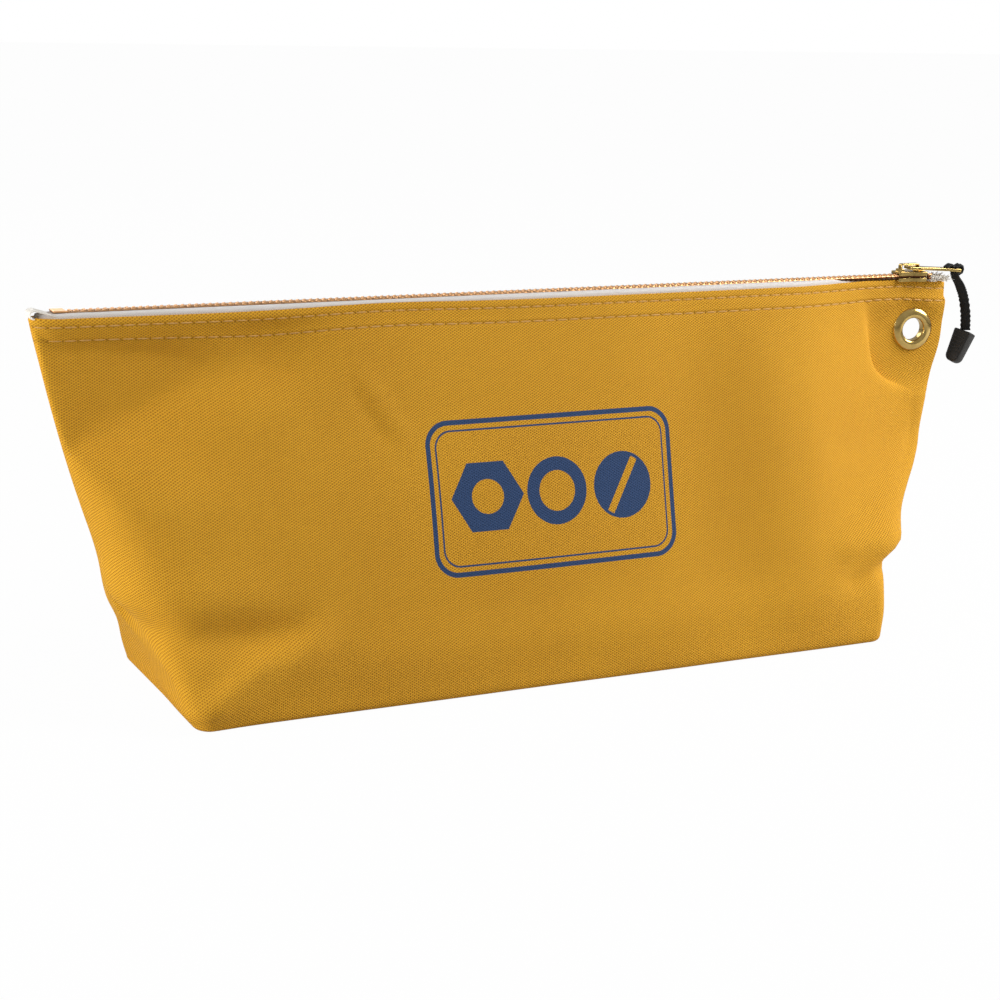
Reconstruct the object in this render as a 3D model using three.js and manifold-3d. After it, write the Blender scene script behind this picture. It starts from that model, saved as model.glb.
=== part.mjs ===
// Zippered canvas tool bag: a folded canvas body with a boxed base, a brass zip
// along its mouth, a puller on a short ribbon, and a brass grommet at one corner.
//
// Millimetres, +Z up. X runs along the zip, the front of the bag faces -Y, and the
// origin is the middle of the underside of the base, on the surface it stands on.

import * as THREE from 'three';
import Module from 'manifold-3d';
import { mergeVertices } from 'three/addons/utils/BufferGeometryUtils.js';

const wasm = await Module();
wasm.setup();

// Canvas body
const MOUTH_LENGTH = 457;
const MOUTH_DEPTH = 17.4;
const BASE_DEPTH = 104;
const CORNER_TAKE_UP = 8;
const FOLD_HEIGHT = 167;
const CANVAS_THICKNESS = 0.9;
const FRONT_BULGE = 3;
const BACK_BULGE = 3;
const END_BULGE = 4;
const BASE_FOLD_RADIUS = 3;
const CORNER_LENGTH_TOP = 14;
const CORNER_RADIUS_BASE = 1.6;
const HEM_DEPTH = 11;
const HEM_LAYER_GAP = 0.2;
const SEAM_GAP = 0.3;

// Zip chain: two rows of teeth, each on a cord at the edge of its tape
const CHAIN_RISE = 1.3;
const CHAIN_WIDTH = 5.6;
const TOOTH_PITCH = 3;
const TOOTH_THICKNESS = 1.2;
const TOOTH_HEIGHT = 2.2;
const TOOTH_OVERLAP = 0.7;
const TOOTH_SHOULDER = 0.7;
const TOOTH_HEAD_HEIGHT = 1.5;
const CORD_HEIGHT = 1.2;
const CORD_WIDTH = 1.1;
const TAPE_THICKNESS = 0.6;
const TAPE_END_ANGLE = 36;

// Stops that end the chain
const BOTTOM_STOP_LENGTH = 5.5;
const BOTTOM_STOP_SETBACK = 9.5;
const TOP_STOP_LENGTH = 2;
const STOP_HEIGHT = 2.6;
const STOP_WALL = 0.7;
const STOP_GRIP = 0.4;

// Slider with its bridge
const SLIDER_LENGTH = 16;
const SLIDER_SETBACK = 13.8;
const SLIDER_PLATE = 0.9;
const SLIDER_RAIL = 0.7;
const ROW_PARTING = 1.7;
const PARTING_LENGTH = 7;
const THROAT_LENGTH = 5.5;
const BRIDGE_LENGTH = 11;
const BRIDGE_WIDTH = 2.6;
const BRIDGE_THICKNESS = 0.8;
const LUG_WALL = 0.45;
const LUG_HEIGHT = 1.2;

// Pull tab
const TAB_LENGTH = 31;
const TAB_THICKNESS = 1.4;
const TAB_BAR = 1.6;
const TAB_ARM = 1.1;
const TAB_TIP_WIDTH = 7;
const TAB_WAIST_WIDTH = 5;
const TAB_SLOPE = 3.8;
const RIBBON_SLOT_LENGTH = 2.6;
const RIBBON_SLOT_SETBACK = 1.8;

// Ribbon and grip
const RIBBON_WIDTH = 4.4;
const RIBBON_THICKNESS = 1.7;
const GRIP_LENGTH = 16.5;
const GRIP_WIDTH = 9.5;
const GRIP_END_WIDTH = 7;
const GRIP_THICKNESS = 6.6;
const GRIP_EDGE = 0.8;
const GRIP_TILT = 23;
const GRIP_YAW = 21;

// Grommet through both walls near the top right corner
const GROMMET_SETBACK = 17;
const GROMMET_DROP = 25.2;
const GROMMET_OUTER = 21;
const GROMMET_BORE = 11;
const GROMMET_WALL = 0.5;
const GROMMET_DOME = 1.5;
const WASHER_THICKNESS = 0.6;
const WASHER_OUTER = 19;
const PINCH_REACH = 48;
const PINCH_DROP = 52;

// Clearances between neighbouring pieces
const SEAT_GAP = 0.3;
const RUNNING_GAP = 0.3;
const TURNING_GAP = 0.25;

const FRONT = -1;
const BACK = 1;

// Materials
function material(color, roughness, metalness) {
  return new THREE.MeshStandardMaterial({ color, roughness, metalness });
}

const canvasCloth = material(0xc9951f, 0.9, 0);
const tapeCloth = material(0xd9d4d6, 0.9, 0);
const antiqueBrass = material(0x9a6b3c, 0.35, 1);
const polishedBrass = material(0xc9a04a, 0.22, 1);
const blackRibbon = material(0x141414, 0.85, 0);
const blackRubber = material(0x1c1c1a, 0.6, 0);

// Geometry helpers
function merged(geometry) {
  const bare = geometry.clone();
  bare.deleteAttribute('normal');
  bare.deleteAttribute('uv');
  return mergeVertices(bare, 1e-4);
}

function solid(geometry) {
  const bare = merged(geometry);
  return new wasm.Manifold(new wasm.Mesh({
    numProp: 3,
    vertProperties: new Float32Array(bare.attributes.position.array),
    triVerts: new Uint32Array(bare.index.array),
  }));
}

function geometryOf(body) {
  const mesh = body.getMesh();
  const geometry = new THREE.BufferGeometry();
  geometry.setAttribute('position', new THREE.BufferAttribute(mesh.vertProperties, 3));
  geometry.setIndex(new THREE.BufferAttribute(mesh.triVerts, 1));
  geometry.computeVertexNormals();
  return geometry;
}

function meshOf(name, geometry, finish) {
  const mesh = new THREE.Mesh(geometry, finish);
  mesh.name = name;
  return mesh;
}

function clamp01(value) {
  return Math.min(1, Math.max(0, value));
}

function smooth(value) {
  const t = clamp01(value);
  return t * t * (3 - 2 * t);
}

function mix(a, b, t) {
  return a + (b - a) * t;
}

function outline(points) {
  return new THREE.Shape(points.map(([x, y]) => new THREE.Vector2(x, y)));
}

// A plan outline (x, y) raised from one height to another
function upright(shape, low, high) {
  const geometry = new THREE.ExtrudeGeometry(shape, {
    depth: high - low,
    bevelEnabled: false,
    curveSegments: 6,
  });
  return geometry.translate(0, 0, low);
}

function block(xLow, xHigh, yLow, yHigh, zLow, zHigh) {
  const box = new THREE.BoxGeometry(xHigh - xLow, yHigh - yLow, zHigh - zLow);
  return box.translate((xLow + xHigh) / 2, (yLow + yHigh) / 2, (zLow + zHigh) / 2);
}

// Canvas body
//
// One folded sheet of canvas. A point on its middle surface is named by how far it
// is round the half section, t, and by its height. From the middle of the front
// wall, t runs to 1 where the corner starts, to 2 where it ends on the end wall,
// and to 3 at the side seam. Negative t is the left half.
const BASE_LENGTH = MOUTH_LENGTH - BASE_DEPTH - CORNER_TAKE_UP;
const MID_INSET = CANVAS_THICKNESS / 2;
const END_LEAN = Math.atan((MOUTH_LENGTH - BASE_LENGTH) / 2 / FOLD_HEIGHT);
const FOOT_LIFT = MID_INSET * Math.sin(END_LEAN);
const FOLD_RADIUS = (CANVAS_THICKNESS + HEM_LAYER_GAP) / 2;
const FOLD_START = FOLD_HEIGHT - CANVAS_THICKNESS / 2 - FOLD_RADIUS;
const GROMMET_X = MOUTH_LENGTH / 2 - GROMMET_SETBACK;
const GROMMET_Z = FOLD_HEIGHT - GROMMET_DROP;
const PINCHED_OFFSET = (SEAM_GAP + CANVAS_THICKNESS) / 2;
const PINCH_MARGIN = 1.2;
const PINCH_TOP = GROMMET_Z + GROMMET_OUTER / 2 + PINCH_MARGIN / 2;
const PINCH_BOTTOM = GROMMET_Z - GROMMET_OUTER / 2 - PINCH_MARGIN;
const PINCH_LEFT = GROMMET_X - GROMMET_OUTER / 2 - 3 * PINCH_MARGIN;
const HEM_BOTTOM = FOLD_HEIGHT - HEM_DEPTH;
const HEM_MIDDLE = (HEM_BOTTOM + FOLD_START) / 2;
const HEM_STACK = CANVAS_THICKNESS + HEM_LAYER_GAP + SEAT_GAP + TAPE_THICKNESS + SEAT_GAP;

function heightShare(z) {
  return clamp01(z / FOLD_HEIGHT);
}

function halfLength(z) {
  return mix(BASE_LENGTH, MOUTH_LENGTH, heightShare(z)) / 2 - MID_INSET;
}

function halfDepth(z) {
  return mix(BASE_DEPTH, MOUTH_DEPTH, heightShare(z)) / 2 - MID_INSET;
}

function cornerLength(z) {
  return mix(CORNER_RADIUS_BASE, CORNER_LENGTH_TOP, heightShare(z));
}

function cornerDepth(z) {
  const full = halfDepth(z) - SEAM_GAP / 2 - FOLD_RADIUS;
  const rounding = smooth(heightShare(z) * 1.25);
  return mix(CORNER_RADIUS_BASE, full, rounding);
}

function bulge(t, z, amount) {
  const along = Math.cos((Math.PI / 2) * clamp01(Math.abs(t)));
  const up = Math.sin(Math.PI * heightShare(z));
  return amount * along * up;
}

// Distance along the cloth from the middle of the front wall
function clothDistance(t, z) {
  const flatFront = halfLength(z) - cornerLength(z);
  const arc = (Math.PI / 2) * Math.hypot(cornerLength(z), cornerDepth(z)) / Math.SQRT2;
  const flatEnd = halfDepth(z) - cornerDepth(z) - SEAM_GAP / 2;
  const part = Math.abs(t);
  const length = flatFront * Math.min(part, 1)
    + arc * clamp01(part - 1)
    + flatEnd * clamp01(part - 2);
  return Math.sign(t) * length;
}

// How far the grommet pins both walls together, 0 to 1
function pinch(along, z) {
  const across = smooth((along - PINCH_LEFT + PINCH_REACH) / PINCH_REACH);
  const above = 1 - smooth((z - HEM_BOTTOM) / (FOLD_START - HEM_BOTTOM));
  const below = smooth((z - PINCH_BOTTOM + PINCH_DROP) / PINCH_DROP);
  return across * above * below;
}

// The boxed section at one height. Where the grommet draws the walls together the
// section gets shallower and, as the cloth keeps its length, its end moves out.
function boxedPoint(t, z, side, drawn) {
  const part = Math.abs(t);
  const sign = Math.sign(t);
  const corner = cornerLength(z);
  const loose = halfLength(z) + END_BULGE * Math.sin(Math.PI * heightShare(z));
  const end = mix(loose, MOUTH_LENGTH / 2 - MID_INSET, drawn);
  const depth = mix(halfDepth(z), PINCHED_OFFSET + FOLD_RADIUS, drawn);
  const round = Math.min(cornerDepth(z), depth - SEAM_GAP / 2 - FOLD_RADIUS);
  const angle = (Math.PI / 2) * clamp01(part - 1);
  const x = part <= 1
    ? (end - corner) * part
    : end - corner * (1 - Math.sin(angle));
  const onArc = depth - round * (1 - Math.cos(angle));
  const y = mix(onArc, SEAM_GAP / 2, clamp01(part - 2));
  const swell = bulge(t, z, side === FRONT ? FRONT_BULGE : BACK_BULGE);
  return new THREE.Vector3(sign * x, side * (y + swell), z);
}

// The walls lying flat against each other, with room for the hems above
function pinchedPoint(t, z, side) {
  const share = clothDistance(t, z) / clothDistance(3, z);
  const x = share * (MOUTH_LENGTH / 2 - SEAM_GAP / 2);
  const room = smooth((z - PINCH_TOP) / (HEM_BOTTOM - PINCH_TOP));
  const y = PINCHED_OFFSET + room * HEM_STACK;
  return new THREE.Vector3(x, side * y, z);
}

function canvasPoint(t, z, side) {
  const pinched = pinchedPoint(t, z, side);
  const drawn = pinch(pinched.x, z);
  const boxed = boxedPoint(t, z, side, drawn);
  return boxed.lerp(pinched, smooth(drawn * 2 - 1));
}

// Unit direction from the wall towards the inside of the bag
function inward(t, z, side) {
  const step = 0.02;
  const along = canvasPoint(t + step, z, side).sub(canvasPoint(t - step, z, side));
  const up = canvasPoint(t, z + 1, side).sub(canvasPoint(t, z - 1, side));
  return up.cross(along).multiplyScalar(-side).normalize();
}

function hemPoint(t, z, side) {
  const shift = CANVAS_THICKNESS + HEM_LAYER_GAP;
  return canvasPoint(t, z, side).addScaledVector(inward(t, z, side), shift);
}

function foldPoint(t, angle, side) {
  const outer = canvasPoint(t, FOLD_START, side);
  const inner = hemPoint(t, FOLD_START, side);
  const middle = outer.clone().add(inner).multiplyScalar(0.5);
  const across = outer.clone().sub(middle);
  const point = middle.addScaledVector(across, Math.cos(angle));
  point.z += FOLD_RADIUS * Math.sin(angle);
  return point;
}

// From the foot of the wall round onto the base, which lies flat
function baseFoldPoint(t, share, side) {
  const wall = canvasPoint(t, BASE_FOLD_RADIUS, side);
  const foot = new THREE.Vector3(wall.x, side * halfDepth(0), MID_INSET);
  const base = basePoint(t, side * (BASE_DEPTH / 2 - BASE_FOLD_RADIUS));
  const first = wall.clone().lerp(foot, share);
  const second = foot.clone().lerp(base, share);
  return first.lerp(second, share);
}

function basePoint(t, y) {
  const tongue = BASE_LENGTH / 2 - CANVAS_THICKNESS - SEAT_GAP - CORNER_RADIUS_BASE / 4;
  return new THREE.Vector3(tongue * t, y, MID_INSET);
}

// Each row of the sheet gives the point at t, and says if it reaches past t = 1 and
// if it belongs to the hem
function sheetRows() {
  const wallHeights = [FOLD_START, HEM_MIDDLE, HEM_BOTTOM, PINCH_TOP, GROMMET_Z];
  const steps = 7;
  for (let i = 0; i <= steps; i += 1) {
    wallHeights.push(mix(PINCH_BOTTOM, BASE_FOLD_RADIUS, i / steps));
  }
  const half = (side) => [
    ...[HEM_BOTTOM, HEM_MIDDLE, FOLD_START].map((z) => ({
      at: (t) => hemPoint(t, z, side),
      wide: true,
      hem: true,
    })),
    ...[135, 90, 45].map((degrees) => ({
      at: (t) => foldPoint(t, THREE.MathUtils.degToRad(degrees), side),
      wide: true,
    })),
    ...wallHeights.map((z) => ({ at: (t) => canvasPoint(t, z, side), wide: true })),
    { at: (t) => footPoint(t, side), wide: true },
  ];
  const halfBase = BASE_DEPTH / 2 - BASE_FOLD_RADIUS;
  const base = [-halfBase, -halfBase / 3, halfBase / 3, halfBase];
  return [
    ...half(FRONT),
    ...base.map((y) => ({ at: (t) => basePoint(t, y), wide: false })),
    ...half(BACK).reverse(),
  ];
}

// The lowest row of each wall: round the fold on the tongue, straight down past it
function footPoint(t, side) {
  if (Math.abs(t) <= 1) {
    return baseFoldPoint(t, 0.5, side);
  }
  const point = canvasPoint(t, 0, side);
  point.z = FOOT_LIFT;
  return point;
}

function sheetColumns() {
  const corner = [1, 4 / 3, 5 / 3, 2, 3];
  const front = [0, 0.3, 0.58, 0.78, 0.87, 0.94];
  const right = [...front, ...corner];
  const left = right.slice(1).reverse().map((t) => -t);
  return [...left, ...right];
}

function canvasBody() {
  const rows = sheetRows();
  const columns = sheetColumns();
  const width = columns.length;
  const points = rows.flatMap((row) => columns.map((t) => row.at(t)));
  const cells = [];
  for (let i = 0; i + 1 < rows.length; i += 1) {
    for (let k = 0; k + 1 < width; k += 1) {
      const onTongue = Math.max(Math.abs(columns[k]), Math.abs(columns[k + 1])) <= 1;
      const touchesFoot = isFootRow(rows, i) || isFootRow(rows, i + 1);
      const leavesTongue = Math.abs(Math.abs(columns[k]) - 1) < 1e-9
        ? Math.abs(columns[k + 1]) > 1
        : Math.abs(Math.abs(columns[k + 1]) - 1) < 1e-9 && Math.abs(columns[k]) > 1;
      const wide = rows[i].wide && rows[i + 1].wide;
      if (onTongue || (wide && !(touchesFoot && leavesTongue))) {
        const [a, b] = [i * width + k, i * width + k + 1];
        const [c, d] = [b + width, a + width];
        // the wall is split along the same diagonal as the hem that lies inside it
        const inHem = rows[i].hem && rows[i + 1].hem;
        cells.push(inHem ? [a, b, c, d] : [b, c, d, a]);
      }
    }
  }
  return thickened(points, cells, CANVAS_THICKNESS);
}

function isFootRow(rows, i) {
  const before = i > 0 && !rows[i - 1].wide;
  const after = i + 1 < rows.length && !rows[i + 1].wide;
  return rows[i].wide && (before || after);
}

// A sheet of four-sided cells given thickness on both sides of its middle surface
function thickened(points, cells, thickness) {
  const middle = new THREE.BufferGeometry().setFromPoints(points);
  middle.setIndex(cells.flatMap(([a, b, c, d]) => [a, b, c, a, c, d]));
  middle.computeVertexNormals();
  const normals = middle.attributes.normal;
  const positions = [];
  for (const side of [1, -1]) {
    points.forEach((point, i) => {
      const normal = new THREE.Vector3().fromBufferAttribute(normals, i);
      const moved = point.clone().addScaledVector(normal, side * thickness / 2);
      positions.push(moved.x, moved.y, moved.z);
    });
  }
  const far = points.length;
  const index = [];
  const edges = new Map();
  for (const cell of cells) {
    const [a, b, c, d] = cell;
    index.push(a, b, c, a, c, d);
    index.push(far + a, far + c, far + b, far + a, far + d, far + c);
    cell.forEach((from, k) => {
      const to = cell[(k + 1) % 4];
      const twin = `${to},${from}`;
      if (edges.has(twin)) {
        edges.delete(twin);
      } else {
        edges.set(`${from},${to}`, [from, to]);
      }
    });
  }
  for (const [from, to] of edges.values()) {
    index.push(to, from, far + from, to, far + from, far + to);
  }
  const geometry = new THREE.BufferGeometry();
  geometry.setAttribute('position', new THREE.Float32BufferAttribute(positions, 3));
  geometry.setIndex(index);
  return geometry;
}

function grommetHoleCutter() {
  const radius = GROMMET_BORE / 2 + GROMMET_WALL + SEAT_GAP;
  const cutter = new THREE.CylinderGeometry(radius, radius, BASE_DEPTH, 24);
  return solid(cutter.translate(GROMMET_X, 0, GROMMET_Z));
}

// Zip
const CHAIN_Z = FOLD_HEIGHT + CHAIN_RISE;
const SLIDER_FRONT = MOUTH_LENGTH / 2 - SLIDER_SETBACK;
const SLIDER_REAR = SLIDER_FRONT - SLIDER_LENGTH;
const PARTING_START = SLIDER_REAR + THROAT_LENGTH;
const BOTTOM_STOP_START = -MOUTH_LENGTH / 2 + BOTTOM_STOP_SETBACK;
const BOTTOM_STOP_END = BOTTOM_STOP_START + BOTTOM_STOP_LENGTH;
const CHAIN_START = BOTTOM_STOP_END + SEAT_GAP;
const CHAIN_END = SLIDER_FRONT - SEAT_GAP;
const TAPE_EDGE = CHAIN_WIDTH / 2 + SEAT_GAP;
const CHANNEL_HALF_HEIGHT = TOOTH_HEIGHT / 2 + RUNNING_GAP;
const SLOT_HALF_HEIGHT = TAPE_THICKNESS / 2 + RUNNING_GAP;

// How far each row has moved away from the middle of the zip
function parting(x) {
  return ROW_PARTING * smooth((x - PARTING_START) / PARTING_LENGTH);
}

// One row of teeth with the cord that they are clamped on. The section (y, z) of a
// tooth has tapered legs, a shoulder and a lower head, and shares its outer edge
// with the cord. Rows on the two sides are half a pitch apart, so the heads of one
// reach between the heads of the other.
function toothRow(side) {
  const outer = CHAIN_WIDTH / 2;
  const tooth = [
    [outer, CORD_HEIGHT / 2],
    [outer - TOOTH_SHOULDER, TOOTH_HEIGHT / 2],
    [-TOOTH_OVERLAP, TOOTH_HEAD_HEIGHT / 2],
    [-TOOTH_OVERLAP, -TOOTH_HEAD_HEIGHT / 2],
    [outer - TOOTH_SHOULDER, -TOOTH_HEIGHT / 2],
    [outer, -CORD_HEIGHT / 2],
  ];
  const cordInner = [
    [outer - CORD_WIDTH, -CORD_HEIGHT / 2],
    [outer - CORD_WIDTH, CORD_HEIGHT / 2],
  ];
  const section = [...tooth, ...cordInner];
  const flat = section.map(([y, z]) => new THREE.Vector2(y, z));
  const faces = THREE.ShapeUtils.triangulateShape(flat, []).map((corners) => {
    const area = THREE.ShapeUtils.area(corners.map((i) => flat[i]));
    return area > 0 ? corners : [corners[0], corners[2], corners[1]];
  });
  const toothRing = [0, 1, 2, 3, 4, 5];
  const cordRing = [0, 7, 6, 5];
  const first = CHAIN_START + (side === BACK ? TOOTH_PITCH / 2 : 0);
  const count = Math.floor((CHAIN_END - first - TOOTH_THICKNESS) / TOOTH_PITCH) + 1;
  const positions = [];
  const index = [];
  const addPlane = (x, offset) => {
    const start = positions.length / 3;
    section.forEach(([y, z]) => positions.push(x, y + offset, CHAIN_Z + z));
    return start;
  };
  const addBand = (a, b, ring) => {
    ring.forEach((from, k) => {
      const to = ring[(k + 1) % ring.length];
      index.push(a + from, b + to, b + from, a + from, a + to, b + to);
    });
  };
  const addFace = (start, list, flip) => {
    list.forEach(([a, b, c]) => {
      const corner = flip ? [a, c, b] : [a, b, c];
      index.push(...corner.map((i) => start + i));
    });
  };
  const cordCap = [[0, 7, 6], [0, 6, 5]];
  let last = null;
  for (let n = 0; n < count; n += 1) {
    const x = first + n * TOOTH_PITCH;
    const offset = parting(x + TOOTH_THICKNESS / 2);
    const near = addPlane(x, offset);
    const far = addPlane(x + TOOTH_THICKNESS, offset);
    if (last === null) {
      addFace(near, cordCap, true);
    } else {
      addBand(last, near, cordRing);
    }
    addFace(near, faces, true);
    addBand(near, far, toothRing);
    addFace(far, faces, false);
    last = far;
  }
  addFace(last, cordCap, false);
  const geometry = new THREE.BufferGeometry();
  geometry.setAttribute('position', new THREE.Float32BufferAttribute(positions, 3));
  geometry.setIndex(index);
  return side === BACK ? geometry : mirroredInY(geometry);
}

function mirroredInY(geometry) {
  const copy = geometry.clone().scale(1, -1, 1);
  const list = Array.from(copy.index.array);
  const turned = [];
  for (let i = 0; i < list.length; i += 3) {
    turned.push(list[i], list[i + 2], list[i + 1]);
  }
  copy.setIndex(turned);
  return copy;
}

// Tape: sewn inside the hem and as deep as it, it comes up past the fold, bends over
// and runs flat to the teeth, so that the slider's slots can pass along it
function zipTape(side) {
  const heights = [HEM_BOTTOM, HEM_MIDDLE, FOLD_START];
  const depth = CANVAS_THICKNESS * 1.5 + HEM_LAYER_GAP + SEAT_GAP + TAPE_THICKNESS / 2;
  const bend = 2 * TAPE_THICKNESS;
  const end = 1 + TAPE_END_ANGLE / 90;
  const rows = tapeStations(end).map((t) => {
    const wall = heights.map((z) => betweenColumns(t, (column) => (
      canvasPoint(column, z, side).addScaledVector(inward(column, z, side), depth)
    )));
    const top = wall[wall.length - 1];
    const y = Math.abs(top.y);
    const edge = Math.min(TAPE_EDGE + parting(top.x), y - bend);
    const over = [
      new THREE.Vector3(top.x, side * y, CHAIN_Z - bend),
      new THREE.Vector3(top.x, side * (y - bend * 0.3), CHAIN_Z - bend * 0.3),
      new THREE.Vector3(top.x, side * (y - bend * 0.8), CHAIN_Z),
      new THREE.Vector3(top.x, side * edge, CHAIN_Z),
    ];
    return [...wall, ...over];
  });
  const points = rows.flat();
  const width = rows[0].length;
  const cells = [];
  for (let i = 0; i + 1 < rows.length; i += 1) {
    for (let k = 0; k + 1 < width; k += 1) {
      const [a, b] = [i * width + k, i * width + k + 1];
      const [c, d] = [b + width, a + width];
      // each is split along the same diagonal as the canvas beside it
      cells.push(side === FRONT ? [a, d, c, b] : [b, c, d, a]);
    }
  }
  return thickened(points, cells, TAPE_THICKNESS);
}

// Places along the tape, as t: the columns of the canvas, its own ends, and the
// places where the rows part inside the slider
function tapeStations(end) {
  const flatFront = halfLength(FOLD_START) - cornerLength(FOLD_START);
  const steps = 4;
  const places = sheetColumns().filter((t) => Math.abs(t) < end);
  for (let i = 0; i <= steps; i += 1) {
    places.push((PARTING_START + (PARTING_LENGTH * i) / steps) / flatFront);
  }
  return [-end, ...places, end].sort((a, b) => a - b);
}

// A point between two columns of the canvas, on the flat facet that joins them
function betweenColumns(t, pointAt) {
  const columns = sheetColumns();
  const k = columns.findIndex((column) => column >= t);
  const share = (t - columns[k - 1]) / (columns[k] - columns[k - 1]);
  return pointAt(columns[k - 1]).lerp(pointAt(columns[k]), share);
}

// A clip with a slot in each side that takes the edge of a tape
function bottomStop() {
  const half = TAPE_EDGE + STOP_GRIP;
  const body = solid(block(BOTTOM_STOP_START, BOTTOM_STOP_END, -half, half,
    CHAIN_Z - STOP_HEIGHT / 2, CHAIN_Z + STOP_HEIGHT / 2));
  const slots = [FRONT, BACK].map((side) => {
    const inner = side * (TAPE_EDGE - SEAT_GAP);
    const outer = side * (half + 1);
    return solid(block(BOTTOM_STOP_START - 1, BOTTOM_STOP_END + 1,
      Math.min(inner, outer), Math.max(inner, outer),
      CHAIN_Z - SLOT_HALF_HEIGHT, CHAIN_Z + SLOT_HALF_HEIGHT));
  });
  return geometryOf(body.subtract(slots[0]).subtract(slots[1]));
}

function topStop(side) {
  const start = SLIDER_FRONT + RUNNING_GAP;
  const end = start + TOP_STOP_LENGTH;
  const slotInner = TAPE_EDGE + parting(start) - SEAT_GAP;
  const outer = slotInner + SEAT_GAP + STOP_GRIP;
  const clip = (xLow, xHigh, low, high, halfHeight) => {
    const ends = [side * low, side * high];
    return solid(block(xLow, xHigh, Math.min(...ends), Math.max(...ends),
      CHAIN_Z - halfHeight, CHAIN_Z + halfHeight));
  };
  const body = clip(start, end, slotInner - STOP_WALL, outer, STOP_HEIGHT / 2);
  const slot = clip(start - 1, end + 1, slotInner, outer + 1, SLOT_HALF_HEIGHT);
  return geometryOf(body.subtract(slot));
}

// Slider: two plates joined by a wedge that parts the rows, with rails down the
// edges of both plates that leave a slot for each tape
const SLIDER_TOP = CHAIN_Z + CHANNEL_HALF_HEIGHT + SLIDER_PLATE;
const SLIDER_BOTTOM = CHAIN_Z - CHANNEL_HALF_HEIGHT - SLIDER_PLATE;
const CHANNEL_HALF_WIDTH = CHAIN_WIDTH / 2 + RUNNING_GAP;

function sliderOutline(halfWidth, overrun, rounding) {
  const steps = 6;
  const edge = [];
  for (let i = 0; i <= steps; i += 1) {
    const x = PARTING_START + (PARTING_LENGTH * i) / steps;
    edge.push([x, halfWidth + parting(x)]);
  }
  const rear = SLIDER_REAR - overrun;
  const front = SLIDER_FRONT + overrun;
  const upper = [
    [rear, halfWidth - rounding],
    [rear + rounding, halfWidth],
    ...edge,
    [front - rounding, halfWidth + ROW_PARTING],
    [front, halfWidth + ROW_PARTING - rounding],
  ];
  const lower = upper.map(([x, y]) => [x, -y]).reverse();
  return outline([...lower.reverse(), ...upper.reverse()]);
}

function wedge() {
  const half = ROW_PARTING - TOOTH_OVERLAP - RUNNING_GAP;
  const nose = PARTING_START + PARTING_LENGTH * 0.62;
  const widest = PARTING_START + PARTING_LENGTH * 0.95;
  const front = SLIDER_FRONT - SLIDER_PLATE / 2;
  const shape = outline([
    [nose, -half * 0.2],
    [widest, -half],
    [front, -half],
    [front, half],
    [widest, half],
    [nose, half * 0.2],
  ]);
  return upright(shape, CHAIN_Z - CHANNEL_HALF_HEIGHT - SLIDER_PLATE / 2,
    CHAIN_Z + CHANNEL_HALF_HEIGHT + SLIDER_PLATE / 2);
}

const BRIDGE_MIDDLE = (SLIDER_REAR + SLIDER_FRONT) / 2;
const LUG_DEPTH = BRIDGE_THICKNESS + 2 * (LUG_WALL + SEAT_GAP);
const LUG_HALF_WIDTH = BRIDGE_WIDTH / 2 + SEAT_GAP + LUG_WALL;

function lug(x) {
  return solid(block(x - LUG_DEPTH / 2, x + LUG_DEPTH / 2, -LUG_HALF_WIDTH, LUG_HALF_WIDTH,
    SLIDER_TOP - SLIDER_PLATE / 2, SLIDER_TOP + LUG_HEIGHT));
}

function lugSocket(x) {
  const halfX = BRIDGE_THICKNESS / 2 + SEAT_GAP;
  const halfY = BRIDGE_WIDTH / 2 + SEAT_GAP;
  return solid(block(x - halfX, x + halfX, -halfY, halfY, SLIDER_TOP, SLIDER_TOP + 2 * LUG_HEIGHT));
}

function sliderBody() {
  const rail = CHANNEL_HALF_WIDTH + SLIDER_RAIL;
  const slab = solid(upright(sliderOutline(rail, 0, 0.8), SLIDER_BOTTOM, SLIDER_TOP));
  const channel = solid(upright(sliderOutline(CHANNEL_HALF_WIDTH, 1, 0.1),
    CHAIN_Z - CHANNEL_HALF_HEIGHT, CHAIN_Z + CHANNEL_HALF_HEIGHT));
  const slots = solid(upright(sliderOutline(2 * rail, 1, 0.1),
    CHAIN_Z - SLOT_HALF_HEIGHT, CHAIN_Z + SLOT_HALF_HEIGHT));
  let body = slab.subtract(channel).subtract(slots).add(solid(wedge()));
  for (const x of bridgeFeet()) {
    body = body.add(lug(x)).subtract(lugSocket(x));
  }
  return geometryOf(body);
}

function bridgeFeet() {
  const reach = (BRIDGE_LENGTH - BRIDGE_THICKNESS) / 2;
  return [BRIDGE_MIDDLE - reach, BRIDGE_MIDDLE + reach];
}

// Pull tab and the bridge that it turns under
const TAB_BAR_REACH = Math.hypot(TAB_BAR, TAB_THICKNESS) / 2;
const PIVOT_Z = SLIDER_TOP + TAB_BAR_REACH + TURNING_GAP + LUG_HEIGHT / 4;
const BRIDGE_UNDERSIDE = PIVOT_Z + TAB_BAR_REACH + TURNING_GAP;
const BRIDGE_TOP = BRIDGE_UNDERSIDE + BRIDGE_THICKNESS;
const BRIDGE_REACH = Math.hypot(BRIDGE_LENGTH / 2, BRIDGE_TOP - PIVOT_Z);
const EYE_REACH = BRIDGE_REACH + TURNING_GAP + TAB_THICKNESS / 2;
const RIBBON_SLOT_X = TAB_LENGTH - RIBBON_SLOT_SETBACK - RIBBON_SLOT_LENGTH / 2;

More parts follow.
